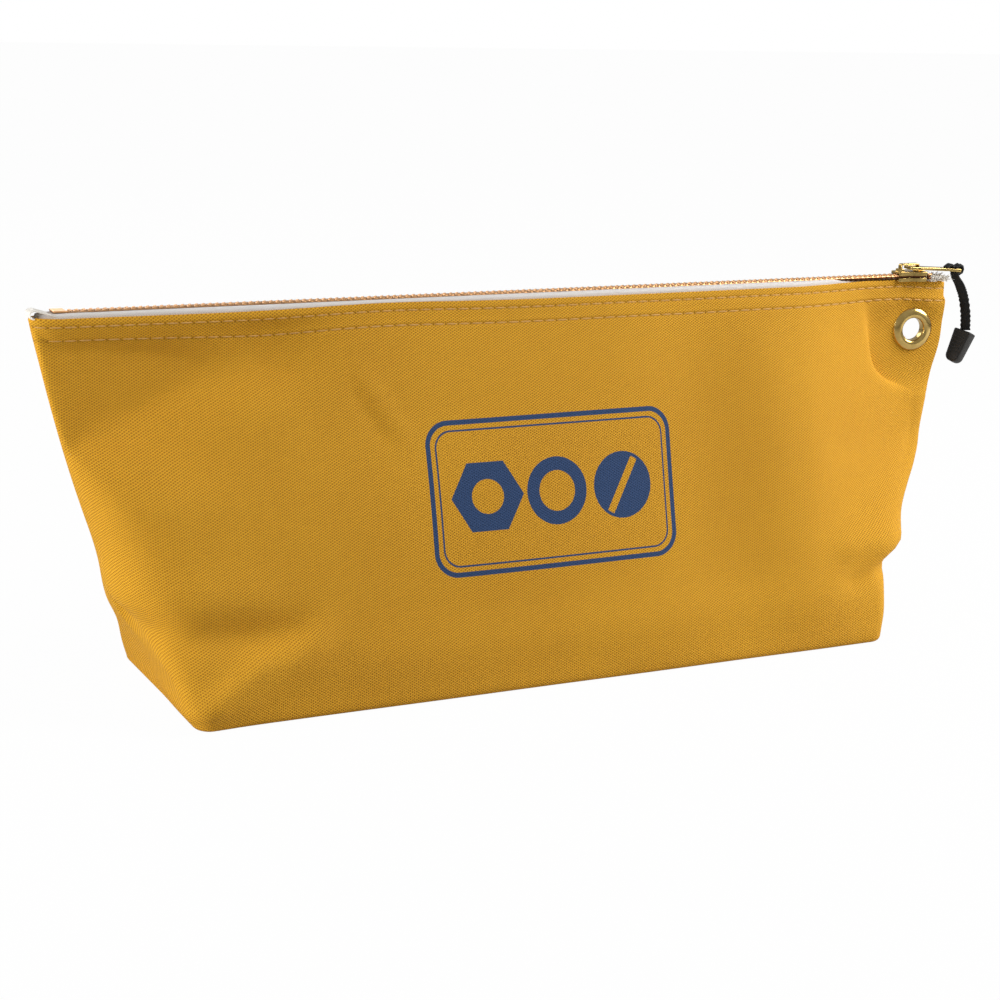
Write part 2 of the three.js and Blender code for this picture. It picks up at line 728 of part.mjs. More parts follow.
function sliderBridge() {
  const half = BRIDGE_LENGTH / 2;
  const crown = 1.2;
  const floor = SLIDER_TOP + SEAT_GAP;
  const arch = new THREE.Shape();
  arch.moveTo(-half, floor);
  arch.lineTo(-half, BRIDGE_TOP - crown);
  arch.quadraticCurveTo(-half, BRIDGE_TOP, -half + crown, BRIDGE_TOP);
  arch.lineTo(half - crown, BRIDGE_TOP);
  arch.quadraticCurveTo(half, BRIDGE_TOP, half, BRIDGE_TOP - crown);
  arch.lineTo(half, floor);
  arch.lineTo(half - BRIDGE_THICKNESS, floor);
  arch.lineTo(half - BRIDGE_THICKNESS, BRIDGE_UNDERSIDE);
  arch.lineTo(-half + BRIDGE_THICKNESS, BRIDGE_UNDERSIDE);
  arch.lineTo(-half + BRIDGE_THICKNESS, floor);
  const geometry = new THREE.ExtrudeGeometry(arch, {
    depth: BRIDGE_WIDTH,
    bevelEnabled: false,
    curveSegments: 4,
  });
  geometry.rotateX(Math.PI / 2);
  return geometry.translate(BRIDGE_MIDDLE, BRIDGE_WIDTH / 2, 0);
}

function pullTab() {
  const eyeHalf = LUG_HALF_WIDTH + TURNING_GAP;
  const armHalf = eyeHalf + TAB_ARM;
  const waist = TAB_WAIST_WIDTH / 2;
  const tip = TAB_TIP_WIDTH / 2;
  const rim = [
    [-TAB_BAR / 2, -armHalf + 0.6],
    [-TAB_BAR / 2 + 0.6, -armHalf],
    [EYE_REACH - 0.5, -armHalf],
    [EYE_REACH + 2.5, -waist],
    [RIBBON_SLOT_X - 5, -waist],
    [RIBBON_SLOT_X - 2, -tip],
    [TAB_LENGTH - 1.4, -tip],
    [TAB_LENGTH, -tip + 1.6],
  ];
  const shape = outline([...rim, ...rim.map(([x, y]) => [x, -y]).reverse()]);
  const half = TAB_THICKNESS / 2;
  const slotHalf = RIBBON_WIDTH / 2 + SEAT_GAP;
  const slotLow = RIBBON_SLOT_X - RIBBON_SLOT_LENGTH / 2;
  const eye = block(TAB_BAR / 2, EYE_REACH, -eyeHalf, eyeHalf, -2 * half, 2 * half);
  const slot = block(slotLow, slotLow + RIBBON_SLOT_LENGTH, -slotHalf, slotHalf, -2 * half, 2 * half);
  const plate = solid(upright(shape, -half, half)).subtract(solid(eye)).subtract(solid(slot));
  const geometry = geometryOf(plate);
  geometry.rotateY(THREE.MathUtils.degToRad(TAB_SLOPE));
  return geometry.translate(BRIDGE_MIDDLE, 0, PIVOT_Z);
}

function tabPoint(distance) {
  const slope = THREE.MathUtils.degToRad(TAB_SLOPE);
  return new THREE.Vector3(
    BRIDGE_MIDDLE + distance * Math.cos(slope),
    0,
    PIVOT_Z - distance * Math.sin(slope),
  );
}

// Ribbon: through the slot in the tab, then hanging past the end of the bag. The
// points are steps from the slot, in x and z.
const RIBBON_ROUTE = [
  [0, 1.9], [0, 0], [1.4, -3.4], [5, -7.4], [8.6, -14], [11, -22.5], [11.9, -30.6],
];

function ribbonPoints() {
  const slot = tabPoint(RIBBON_SLOT_X);
  return RIBBON_ROUTE.map(([x, z]) => new THREE.Vector3(slot.x + x, 0, slot.z + z));
}

function pullRibbon() {
  const section = new THREE.Shape();
  const sides = 8;
  for (let i = 0; i < sides; i += 1) {
    const angle = (2 * Math.PI * (i + 0.5)) / sides;
    const stretch = 1 / Math.cos(Math.PI / sides);
    const x = Math.cos(angle) * stretch * RIBBON_WIDTH / 2;
    const y = Math.sin(angle) * stretch * RIBBON_THICKNESS / 2;
    if (i === 0) {
      section.moveTo(x, y);
    } else {
      section.lineTo(x, y);
    }
  }
  return new THREE.ExtrudeGeometry(section, {
    extrudePath: new THREE.CatmullRomCurve3(ribbonPoints()),
    steps: 12,
    bevelEnabled: false,
  });
}

// Grip: a tapered block moulded on the end of the ribbon, hanging a little askew
function pullGrip() {
  const top = GRIP_WIDTH / 2 - GRIP_EDGE;
  const end = GRIP_END_WIDTH / 2 - GRIP_EDGE;
  const shape = new THREE.Shape();
  shape.moveTo(-top + 1, -GRIP_EDGE);
  shape.lineTo(top - 1, -GRIP_EDGE);
  shape.quadraticCurveTo(top, -GRIP_EDGE, top, -GRIP_EDGE - 1);
  shape.lineTo(end, -GRIP_LENGTH + 3);
  shape.quadraticCurveTo(end, -GRIP_LENGTH + GRIP_EDGE, 0, -GRIP_LENGTH + GRIP_EDGE);
  shape.quadraticCurveTo(-end, -GRIP_LENGTH + GRIP_EDGE, -end, -GRIP_LENGTH + 3);
  shape.lineTo(-top, -GRIP_EDGE - 1);
  shape.quadraticCurveTo(-top, -GRIP_EDGE, -top + 1, -GRIP_EDGE);
  const body = new THREE.ExtrudeGeometry(shape, {
    depth: GRIP_THICKNESS - 2 * GRIP_EDGE,
    bevelEnabled: true,
    bevelSize: GRIP_EDGE,
    bevelThickness: GRIP_EDGE,
    bevelSegments: 1,
    curveSegments: 4,
  });
  body.translate(0, 0, -(GRIP_THICKNESS - 2 * GRIP_EDGE) / 2);
  // stand it up: its length along z, its width along y, its thickness along x
  body.rotateX(Math.PI / 2);
  body.rotateZ(Math.PI / 2);
  const tilt = THREE.MathUtils.degToRad(GRIP_TILT);
  body.rotateZ(THREE.MathUtils.degToRad(GRIP_YAW));
  body.rotateY(tilt);
  // the tilted top is clear of the nearer edge of the ribbon's end
  const [before, hold] = ribbonPoints().slice(-2);
  const lean = (hold.x - before.x) / (before.z - hold.z);
  const drop = SEAT_GAP / Math.cos(tilt) + (RIBBON_THICKNESS / 2) * (Math.tan(tilt) + lean);
  return body.translate(hold.x, hold.y, hold.z - drop);
}

// Grommet: the eyelet's barrel goes through both walls, with a domed flange in front
// and a lip rolled over the washer behind
function turned(profile) {
  const points = [...profile, profile[0]].map(([r, y]) => new THREE.Vector2(r, y));
  const geometry = new THREE.LatheGeometry(points, 24);
  return geometry.translate(GROMMET_X, 0, GROMMET_Z);
}

const WALL_FACE = PINCHED_OFFSET + CANVAS_THICKNESS / 2;
const BARREL = GROMMET_BORE / 2 + GROMMET_WALL;

function eyelet() {
  const bore = GROMMET_BORE / 2;
  const flange = GROMMET_OUTER / 2;
  const seat = -WALL_FACE - SEAT_GAP;
  const crest = seat - GROMMET_DOME;
  const lipSeat = WALL_FACE + SEAT_GAP + WASHER_THICKNESS + SEAT_GAP;
  const lipTop = lipSeat + 2 * GROMMET_WALL;
  const lip = mix(BARREL, WASHER_OUTER / 2, 0.55);
  return turned([
    [bore, crest + GROMMET_DOME * 0.5],
    [bore + GROMMET_WALL, crest + GROMMET_DOME * 0.12],
    [mix(bore, flange, 0.35), crest],
    [mix(bore, flange, 0.7), crest + GROMMET_DOME * 0.18],
    [flange - GROMMET_WALL, crest + GROMMET_DOME * 0.6],
    [flange, seat],
    [BARREL, seat],
    [BARREL, lipSeat],
    [lip, lipSeat],
    [lip, lipSeat + GROMMET_WALL],
    [mix(BARREL, lip, 0.5), lipTop],
    [bore + GROMMET_WALL * 0.6, lipTop - GROMMET_WALL * 0.3],
    [bore, lipTop - GROMMET_WALL],
  ]);
}

function washer() {
  const inner = BARREL + SEAT_GAP;
  const outer = WASHER_OUTER / 2;
  const seat = WALL_FACE + SEAT_GAP;
  return turned([
    [inner, seat],
    [outer, seat],
    [outer, seat + WASHER_THICKNESS * 0.6],
    [outer - WASHER_THICKNESS, seat + WASHER_THICKNESS],
    [inner, seat + WASHER_THICKNESS],
  ]);
}

// Assembly
const bag = new THREE.Group();

const canvas = geometryOf(solid(canvasBody()).subtract(grommetHoleCutter()));
bag.add(meshOf('canvas_body', canvas, canvasCloth));
bag.add(meshOf('front_zip_tape', zipTape(FRONT), tapeCloth));
bag.add(meshOf('back_zip_tape', zipTape(BACK), tapeCloth));
bag.add(meshOf('front_tooth_row', toothRow(FRONT), antiqueBrass));
bag.add(meshOf('back_tooth_row', toothRow(BACK), antiqueBrass));
bag.add(meshOf('bottom_stop', bottomStop(), antiqueBrass));
bag.add(meshOf('front_top_stop', topStop(FRONT), antiqueBrass));
bag.add(meshOf('back_top_stop', topStop(BACK), antiqueBrass));
bag.add(meshOf('grommet_eyelet', eyelet(), polishedBrass));
bag.add(meshOf('grommet_washer', washer(), polishedBrass));

const slider = new THREE.Group();
slider.add(meshOf('slider_body', sliderBody(), polishedBrass));
slider.add(meshOf('slider_bridge', sliderBridge(), polishedBrass));
slider.add(meshOf('pull_tab', pullTab(), polishedBrass));
slider.add(meshOf('pull_ribbon', pullRibbon(), blackRibbon));
slider.add(meshOf('pull_grip', pullGrip(), blackRubber));
bag.add(slider);

export default bag;
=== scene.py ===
import functools
import math
import random

import bmesh
import bpy
from mathutils import Matrix, Vector


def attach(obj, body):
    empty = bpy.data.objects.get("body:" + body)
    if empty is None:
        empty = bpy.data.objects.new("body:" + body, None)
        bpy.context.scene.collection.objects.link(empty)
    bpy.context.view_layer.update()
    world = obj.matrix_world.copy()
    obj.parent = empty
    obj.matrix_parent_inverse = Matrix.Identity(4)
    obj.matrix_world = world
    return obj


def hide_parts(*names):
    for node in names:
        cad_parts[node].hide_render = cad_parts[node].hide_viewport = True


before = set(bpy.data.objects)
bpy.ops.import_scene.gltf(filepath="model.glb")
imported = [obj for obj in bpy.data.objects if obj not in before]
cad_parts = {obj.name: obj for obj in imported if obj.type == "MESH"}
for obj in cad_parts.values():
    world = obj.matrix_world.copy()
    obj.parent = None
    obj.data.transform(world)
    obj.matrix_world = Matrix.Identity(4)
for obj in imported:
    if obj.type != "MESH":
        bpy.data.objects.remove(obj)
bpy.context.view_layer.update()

# Camera: a metre from the middle of the bag, to the left of its front and a little
# above it, and turned slightly, as the picture was taken. Right, up and back are the
# camera's own directions.
AZIMUTH = math.radians(-27.6)
ELEVATION = math.radians(15.1)
ROLL = math.radians(2.55)
LENS = 79.2
AIM = Vector((-0.0122, 0, 0.0732))

level = Vector((math.cos(AZIMUTH), math.sin(AZIMUTH), 0))
back = Vector((math.sin(AZIMUTH) * math.cos(ELEVATION),
               -math.cos(AZIMUTH) * math.cos(ELEVATION),
               math.sin(ELEVATION)))
steep = back.cross(level)
right = level * math.cos(ROLL) + steep * math.sin(ROLL)
up = steep * math.cos(ROLL) - level * math.sin(ROLL)
camera = bpy.data.objects.new("camera", bpy.data.cameras.new("camera"))
camera.data.lens = LENS
camera.data.clip_start = 0.01
facing = Matrix((right, up, back)).transposed().to_4x4()
camera.matrix_world = Matrix.Translation(AIM + back) @ facing
bpy.context.collection.objects.link(camera)
bpy.context.scene.camera = camera


# Pull ribbon: a flat black braid, doubled through the slot of the pull tab. It hangs
# past the end of the bag, with a ridge down its middle and picots along its edges.
RIBBON_WIDTH = 4.9
RIBBON_THICKNESS = 1.7
RIBBON_TWIST = math.radians(42)
TWIST_LENGTH = 12
RIDGE_WIDTH = 0.3
BESIDE_RIDGE = 0.72
PICOT_PITCH = 1.0
PICOT_REACH = 0.22
SLOT_X = 234.539
SLOT_Z = 170.364
RIBBON_ROUTE = [(0, 1.9), (0, 0), (1.1, -3.6), (4.3, -7.8), (7.5, -14), (9.8, -22.5),
                (10.7, -30.8)]


class Wire:
    """A socket of a material, written into sums as a number is."""

    def __init__(self, tree, socket=None):
        self.tree = tree
        self.socket = socket

    def node(self, kind, settings=None, inputs=None, output=0):
        made = self.tree.nodes.new("ShaderNode" + kind)
        for name, value in (settings or {}).items():
            if name == "stops":
                ramp = made.color_ramp.elements
                while len(ramp) < len(value):
                    ramp.new(0.5)
                for stop, (place, color) in zip(ramp, value):
                    stop.position = place
                    stop.color = color
            else:
                setattr(made, name, value)
        for name, value in (inputs or {}).items():
            if isinstance(value, Wire):
                self.tree.links.new(value.socket, made.inputs[name])
            else:
                made.inputs[name].default_value = value
        return Wire(self.tree, made.outputs[output] if made.outputs else None)

    def math(self, operation, *values):
        return self.node("Math", {"operation": operation}, dict(enumerate(values)))

    def __add__(self, other):
        return self.math("ADD", self, other)

    def __sub__(self, other):
        return self.math("SUBTRACT", self, other)

    def __rsub__(self, other):
        return self.math("SUBTRACT", other, self)

    def __mul__(self, other):
        return self.math("MULTIPLY", self, other)

    def __truediv__(self, other):
        return self.math("DIVIDE", self, other)

    def __abs__(self):
        return self.math("ABSOLUTE", self)

    def sine(self):
        return self.math("SINE", self)

    def cosine(self):
        return self.math("COSINE", self)

    def root(self):
        return self.math("SQRT", self)

    def more(self, other):
        """The larger of this and another."""
        return self.math("MAXIMUM", self, other)

    def below(self, edge, soft):
        """1 under the edge, 0 past it, with a soft step between."""
        return self.node("MapRange", {"interpolation_type": "SMOOTHSTEP"},
                         {0: self, 1: edge - soft, 2: edge + soft, 3: 1.0, 4: 0.0})

    def noise(self, scale, detail=3.0):
        return self.node("TexNoise", {}, {"Vector": self, "Scale": scale, "Detail": detail})

    def tint(self, low, high):
        """A colour between two, by this value."""
        return self.node("Mix", {"data_type": "RGBA"}, {0: self, 6: low, 7: high}, 2)

    def axes(self):
        """The three parts of a vector."""
        first = self.node("SeparateXYZ", {}, {0: self})
        return [Wire(self.tree, socket) for socket in first.socket.node.outputs]

    def bump(self, distance):
        return self.node("Bump", {}, {"Height": self, "Distance": distance})

    def spot(self):
        """The shaded point, in the piece's own metres."""
        return self.node("TexCoord", {}, {}, 3)


def color(red, green, blue):
    return (red, green, blue, 1.0)


def new_finish(name):
    """An empty material, and a wire to draw its nodes with."""
    material = bpy.data.materials.new(name)
    material.use_nodes = True
    material.node_tree.nodes.clear()
    return material, Wire(material.node_tree)


def coat(wire, **sockets):
    """Ends a material in its one shader."""
    named = {name.replace("_", " "): value for name, value in sockets.items()}
    shader = wire.node("BsdfPrincipled", {}, named)
    wire.node("OutputMaterial", {}, {"Surface": shader})


def piece(name, bm, material, body, sharp=None):
    """A shape drawn in millimetres becomes a piece in metres that rides on a body."""
    bmesh.ops.scale(bm, vec=(0.001, 0.001, 0.001), verts=bm.verts)
    mesh = bpy.data.meshes.new(name)
    bm.to_mesh(mesh)
    bm.free()
    mesh.materials.append(material)
    mesh.shade_smooth()
    if sharp is not None:
        mesh.set_sharp_from_angle(angle=math.radians(sharp))
    made = bpy.data.objects.new(name, mesh)
    bpy.context.collection.objects.link(made)
    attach(made, body)
    return made


def smooth_route(points, steps):
    """Points on one smooth curve through the given ones, ends included."""
    ends = [points[0] * 2 - points[1]] + points + [points[-1] * 2 - points[-2]]
    route = []
    for a, b, c, d in zip(ends, ends[1:], ends[2:], ends[3:]):
        for i in range(steps):
            s = i / steps
            route.append(0.5 * (2 * b + (c - a) * s + (2 * a - 5 * b + 4 * c - d) * s ** 2
                                + (3 * b - 3 * c + d - a) * s ** 3))
    return route + [points[-1].copy()]


def loft(bm, route, section, across, sides=12, closed=False):
    """Draws a ring of points along a route. section(i, angle) gives a point of it, across
    and out, and across(i) the direction of its width."""
    count = len(route)

    def shape(ring, i):
        ahead = route[(i + 1) % count] if closed else route[min(i + 1, count - 1)]
        behind = route[i - 1] if closed else route[max(i - 1, 0)]
        along = (ahead - behind).normalized()
        out = along.cross(across(i)).normalized()
        wide = out.cross(along).normalized()
        for k, vert in enumerate(ring):
            a, b = section(i, 2 * math.pi * k / sides)
            vert.co = route[i] + wide * a + out * b

    ring = bmesh.ops.create_circle(bm, segments=sides, radius=1)["verts"]
    shape(ring, 0)
    first = list(ring)
    for i in range(1, count):
        edges = [bm.edges.get((ring[k], ring[k - 1])) for k in range(sides)]
        made = bmesh.ops.extrude_edge_only(bm, edges=edges)["geom"]
        new = {v for v in made if isinstance(v, bmesh.types.BMVert)}
        ring = [next(e.other_vert(v) for e in v.link_edges if e.other_vert(v) in new)
                for v in ring]
        shape(ring, i)
    if closed:
        loops = [bm.edges.get((r[k], r[k - 1])) for r in (first, ring) for k in range(sides)]
        bmesh.ops.bridge_loops(bm, edges=loops)
    else:
        bm.faces.new(first)
        bm.faces.new(list(reversed(ring)))
    return first, ring


def oval(wide, thick, square=1.0):
    """A flat section with rounded edges."""
    def at(i, angle):
        c, s = math.cos(angle), math.sin(angle)
        return (wide / 2 * math.copysign(abs(c) ** square, c),
                thick / 2 * math.copysign(abs(s) ** square, s))
    return at


ribbon_cloth, wire = new_finish("ribbon_cloth")
spot = wire.spot()
x, y, z = spot.axes()
braid = (z * 9000).sine() * (x * 5200 + y * 5200).sine()
fuzz = spot.noise(2600.0)
coat(wire,
     Base_Color=(braid * 0.25 + fuzz * 0.7).tint(color(0.001, 0.001, 0.001),
                                                 color(0.014, 0.013, 0.012)),
     Roughness=0.7,
     Specular_IOR_Level=0.3,
     Normal=(braid * 0.5 + fuzz).bump(0.00012))

route = smooth_route([Vector((SLOT_X + a, 0, SLOT_Z + b)) for a, b in RIBBON_ROUTE], 12)
reach = [0.0]
for before, after in zip(route, route[1:]):
    reach.append(reach[-1] + (after - before).length)


def ribbon_section(i, angle):
    """Flat, with a ridge down the middle of each face and a picot every millimetre."""
    wide, thick = math.cos(angle), math.sin(angle)
    picot = PICOT_REACH * math.sin(2 * math.pi * reach[i] / PICOT_PITCH)
    ridge = 1.0 if abs(wide) < RIDGE_WIDTH else BESIDE_RIDGE
    flat = math.copysign(abs(thick) ** 0.5, thick)
    return ((RIBBON_WIDTH / 2 + picot) * math.copysign(abs(wide) ** 0.8, wide),
            RIBBON_THICKNESS / 2 * ridge * flat)


def ribbon_across(i):
    turn = RIBBON_TWIST * min(1.0, reach[i] / TWIST_LENGTH)
    return Matrix.Rotation(turn, 3, "Z") @ Vector((0, 1, 0))


bm = bmesh.new()
loft(bm, route, ribbon_section, ribbon_across, sides=16)
bmesh.ops.recalc_face_normals(bm, faces=bm.faces)
ribbon = piece("ribbon", bm, ribbon_cloth, "strap", 50)
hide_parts("pull_ribbon")

# Hitch: where the doubled braid is looped through the slot. Two turns side by side go
# round the end of the tab, and two strands come up out of the slot and lie on the tab.
HITCH_WIDTH = 2.0
HITCH_THICKNESS = 1.55
HITCH_TURN = [(0.35, -1.3), (0.4, 0.3), (1.3, 1.6), (2.6, 2.25), (3.9, 1.5), (4.3, 0.1),
              (3.8, -1.4), (2.4, -2.1), (0.9, -2.1)]
HITCH_BIGHT = [(-0.3, -1.6), (-0.45, 0.3), (-1.5, 1.7), (-3.0, 2.4), (-4.4, 1.7), (-5.2, 1.1)]

bm = bmesh.new()
for points, side, closed in ((HITCH_TURN, 1.1, True), (HITCH_TURN, -1.1, True),
                             (HITCH_BIGHT, 0.9, False), (HITCH_BIGHT, -0.9, False)):
    turn = [Vector((SLOT_X + a, side, SLOT_Z + b)) for a, b in points]
    if not closed:
        turn = smooth_route(turn, 4)
    loft(bm, turn, oval(HITCH_WIDTH, HITCH_THICKNESS), lambda i: Vector((0, 1, 0)), 10, closed)
bmesh.ops.recalc_face_normals(bm, faces=bm.faces)
hitch = piece("ribbon_hitch", bm, ribbon_cloth, "strap", 60)

# Pull grip: a tapered block of black rubber moulded round the end of the ribbon. It
# hangs askew, with shallow ribs across its broad faces for the fingers.
GRIP_LENGTH = 16.5
GRIP_WIDTH = 9.5
GRIP_END_WIDTH = 7.0
GRIP_THICKNESS = 6.6
GRIP_TILT = math.radians(23)
GRIP_YAW = math.radians(21)
GRIP_TOP = Vector((245.3, 0, 138.9))
GRIP_THINNING = 0.1
FOOT_CORNER_RADIUS = 2.9
GRIP_EDGE_RADIUS = 0.8
SHARP_EDGE = 0.9
RIB_COUNT = 5
RIB_START = 4.0
RIB_PITCH = 1.9
RIB_HEIGHT = 0.5
RIB_LENGTH = 5.4
RIB_SHORTENING = 0.25
RIB_WIDTH = 0.7
RIB_EDGE_RADIUS = 0.15

rubber, wire = new_finish("grip_rubber")
spot = wire.spot()
grain = spot.noise(900.0, 4.0)
worn = spot.noise(160.0)
coat(wire,
     Base_Color=worn.tint(color(0.002, 0.0016, 0.001), color(0.012, 0.010, 0.007)),
     Roughness=worn * 0.2 + 0.40,
     Specular_IOR_Level=0.35,
     Normal=grain.bump(0.00008))


def block(bm, size, middle):
    corners = bmesh.ops.create_cube(bm, size=1)["verts"]
    bmesh.ops.scale(bm, vec=size, verts=corners)
    bmesh.ops.translate(bm, vec=middle, verts=corners)
    return corners


def bevel(bm, edges, radius, segments):
    bmesh.ops.bevel(bm, geom=edges, offset=radius, affect="EDGES", segments=segments,
                    profile=0.5, material=-1)


bm = bmesh.new()
corners = block(bm, (GRIP_THICKNESS, GRIP_WIDTH, GRIP_LENGTH), (0, 0, -GRIP_LENGTH / 2))
low = [v for v in corners if v.co.z < -1]
bmesh.ops.scale(bm, vec=(1 - GRIP_THINNING, GRIP_END_WIDTH / GRIP_WIDTH, 1), verts=low)
foot = [e for e in bm.edges
        if all(v.co.z < -1 for v in e.verts) and abs(e.verts[0].co.y - e.verts[1].co.y) < 0.01]
bevel(bm, foot, FOOT_CORNER_RADIUS, 5)
bevel(bm, [e for e in bm.edges if e.calc_face_angle(0) > SHARP_EDGE], GRIP_EDGE_RADIUS, 3)
for i in range(RIB_COUNT):
    drop = RIB_START + i * RIB_PITCH
    half = GRIP_THICKNESS / 2 * (1 - GRIP_THINNING * drop / GRIP_LENGTH)
    size = (RIB_HEIGHT, RIB_LENGTH - RIB_SHORTENING * i, RIB_WIDTH)
    for face in (-1, 1):
        rib = block(bm, size, (face * half, 0, -drop))
        bevel(bm, list({e for v in rib for e in v.link_edges}), RIB_EDGE_RADIUS, 2)
place = (Matrix.Translation(GRIP_TOP) @ Matrix.Rotation(GRIP_TILT, 4, "Y")
         @ Matrix.Rotation(GRIP_YAW, 4, "Z"))
bmesh.ops.transform(bm, matrix=place, verts=bm.verts)
grip = piece("grip", bm, rubber, "strap", 35)
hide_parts("pull_grip")
[tuple(p / 1000) for p in route]


# Canvas body: one length of heavy golden duck, folded up from the base into two walls
# and closed by a seam at each end, with its edge turned in at the mouth as a hem. Near one
# corner a grommet pins the two walls to each other.
MOUTH_LENGTH = 457
MOUTH_DEPTH = 17.4
BASE_LENGTH = 345
BASE_DEPTH = 104
FOLD_HEIGHT = 167
CANVAS_THICKNESS = 0.9
MIDDLE = CANVAS_THICKNESS / 2
WALL_BULGE = 3
END_BULGE = 5.6
LOW_BULGE = 3.2
LOW_BULGE_Z = 44
LOW_BULGE_SPREAD = 15
BOXED_SWELL = 8
SWELL_SPAN = (32, 13)
STRAIGHT_SEAM = 209.3
SEAM_SLOPE = 0.129
STRAIGHT_SPAN = (52, 34)
FLAT_TOP_SPAN = (120, 22)
BOXED_HEIGHT = 10
BOXED_FADE = 44
BASE_FOLD_RADIUS = 3
CORNER_LENGTH_TOP = 14
CORNER_SWELL = 24
CORNER_RADIUS_BASE = 6.5
HEM_DEPTH = 11
HEM_LAYER_GAP = 0.2
FOLD_RADIUS = (CANVAS_THICKNESS + HEM_LAYER_GAP) / 2
FOLD_START = FOLD_HEIGHT - MIDDLE - FOLD_RADIUS
HEM_BOTTOM = FOLD_HEIGHT - HEM_DEPTH
GROMMET_X = 211.5
GROMMET_Z = 141.8
GROMMET_OUTER = 21
PINNED_OFFSET = 0.6
PINCH_REACH = 68
PINCH_DROP = 52
PINCH_TOP = GROMMET_Z + GROMMET_OUTER / 2 + 0.6
PINCH_BOTTOM = GROMMET_Z - GROMMET_OUTER / 2 - 1.2
PINCH_LEFT = GROMMET_X - GROMMET_OUTER / 2 - 3.6
PIN_START = 0.6
RING_REACH = 14
HEM_STACK = 1.9
HEM_SPREAD = 3
HOLE_RADIUS = 7.4
PRESSED_SHARE = 0.93
PRESSED_ALONG = (128, 60)
PRESSED_UP = (42, 52)
PRESSED_CORNER = 9
DENT_SHARE = 0.86
DENT_HEM_SHARE = 0.30
DENT_HEM_SPAN = (140, 26)
DENT_ALONG = (125, 95)
DENT_UP = (86, 42)
SEAM_DEPTH = 0.7
SEAM_WIDTH = 1.3
SEAM_FADE_TOP = 30
SEAM_FADE_FOOT = 8
SEAM_CALM = 0.5
BESIDE_SEAM = 2.95
T_STEP = 0.02
LEAST_DEPTH = 2.4
FOLD_TAPER = 1.6
CALM_TOP = 6
CALM_FOOT = 9
CLOSE_WANDER = 0.35
BROAD_WANDER = 0.25
FRONT, BACK = -1, 1

# Folds that the cloth has taken, each a soft ridge or valley between two places on the
# wall: where it starts and ends in x and z, its height out of the wall and its width
FRONT_FOLDS = [
    ((-226, 143), (-198, 147), 1.5, 5.0),
    ((-230, 121), (-200, 126), 2.4, 5.5),
    ((-236, 135), (-134, 148), -8.5, 15.5),
    ((-190, 118), (-60, 124), -2.2, 26.0),
    ((-228, 104), (-196, 106), 2.0, 10.0),
    ((-204, 39), (-130, 36), -3.4, 8.0),
    ((-192, 54), (-150, 52), 2.0, 10.0),
    ((-164, 9), (-124, 31), 5.6, 8.0),
    ((-166, 13), (-147, 25), 1.5, 3.2),
    ((-160, 9), (-136, 24), -1.2, 2.6),
    ((-93, 132), (-82, 114), -0.8, 3.4),
    ((-86, 134), (-74, 116), 1.0, 4.5),
    ((128, 50), (116, 128), 2.6, 22.0),
    ((190, 37), (158, 30), -2.0, 4.5),
    ((186, 48), (156, 46), 1.6, 5.5),
    ((82, 50), (74, 124), -1.4, 22.0),
    ((30, 120), (-40, 60), 0.9, 26.0),
    ((-120, 21), (140, 24), 1.6, 13.0),
]
BACK_FOLDS = [
    ((-205, 126), (-160, 144), -1.8, 9.0),
    ((-160, 14), (-110, 36), 1.1, 6.0),
    ((165, 12), (120, 34), 1.1, 6.0),
    ((203, 126), (176, 80), 1.5, 8.0),
    ((188, 36), (158, 30), -1.2, 5.0),
    ((-100, 60), (-20, 120), -1.0, 32.0),
    ((20, 50), (110, 110), 0.8, 30.0),
]
GROMMET_TURN = math.radians(9)
TURN_REACH = (20, 17)
MOUTH_DROOP = 2.0
DROOP_ALONG = (198, 32)
DROOP_UP = (140, 22)
CROWN_X = -75
CROWN_REACH = 42
CROWN_PINCH = 1.5
CROWN_PINCH_UP = (125, 40)
CROWN_RISE = 0.9
CROWN_RISE_UP = (130, 30)


def clamp(value):
    return min(1.0, max(0.0, value))


def smooth(value):
    s = clamp(value)
    return s * s * (3 - 2 * s)


def ramp(value, span):
    """0 up to a span, which is a start and a length, and 1 past it."""
    return smooth((value - span[0]) / span[1])


def mix(a, b, share):
    return a + (b - a) * share


# A point on a wall is named by its side, its height and t, which runs from -3 at the left
# seam past 0 at the middle of the wall to 3 at the right seam.
@functools.lru_cache(maxsize=None)
def section(z):
    """The bag's plain section at one height: half its length and depth, the corner's
    length and depth, and how far it is from boxed, 0, to rounded into the seam, 1."""
    share = clamp(z / FOLD_HEIGHT)
    rounded = smooth((z - BOXED_HEIGHT) / BOXED_FADE)
    fade = smooth((z - FOLD_HEIGHT / 2) / (HEM_BOTTOM - FOLD_HEIGHT / 2))
    half_length = mix(BASE_LENGTH, MOUTH_LENGTH, share) / 2 - MIDDLE
    half_depth = mix(BASE_DEPTH, MOUTH_DEPTH, share) / 2 - MIDDLE
    corner = mix(CORNER_RADIUS_BASE, CORNER_LENGTH_TOP, share)
    corner += CORNER_SWELL * rounded * (1 - fade)
    corner_depth = mix(CORNER_RADIUS_BASE, half_depth - FOLD_RADIUS, rounded)
    return half_length, half_depth, corner, corner_depth, rounded


@functools.lru_cache(maxsize=None)
def end_reach(z, at_grommet):
    """How far out an end's seam is. The end with the grommet is pulled out nearly straight
    from its flat top down to where the bag is boxed."""
    plain = END_BULGE * section(z)[4] * math.sin(math.pi * clamp(z / FOLD_HEIGHT))
    plain += LOW_BULGE * math.exp(-((z - LOW_BULGE_Z) / LOW_BULGE_SPREAD) ** 2)
    end = section(z)[0] + plain
    if not at_grommet:
        return end
    end += BOXED_SWELL * ramp(z, SWELL_SPAN)
    end = mix(end, STRAIGHT_SEAM + SEAM_SLOPE * z, ramp(z, STRAIGHT_SPAN))
    return mix(end, MOUTH_LENGTH / 2 - MIDDLE, ramp(z, FLAT_TOP_SPAN))


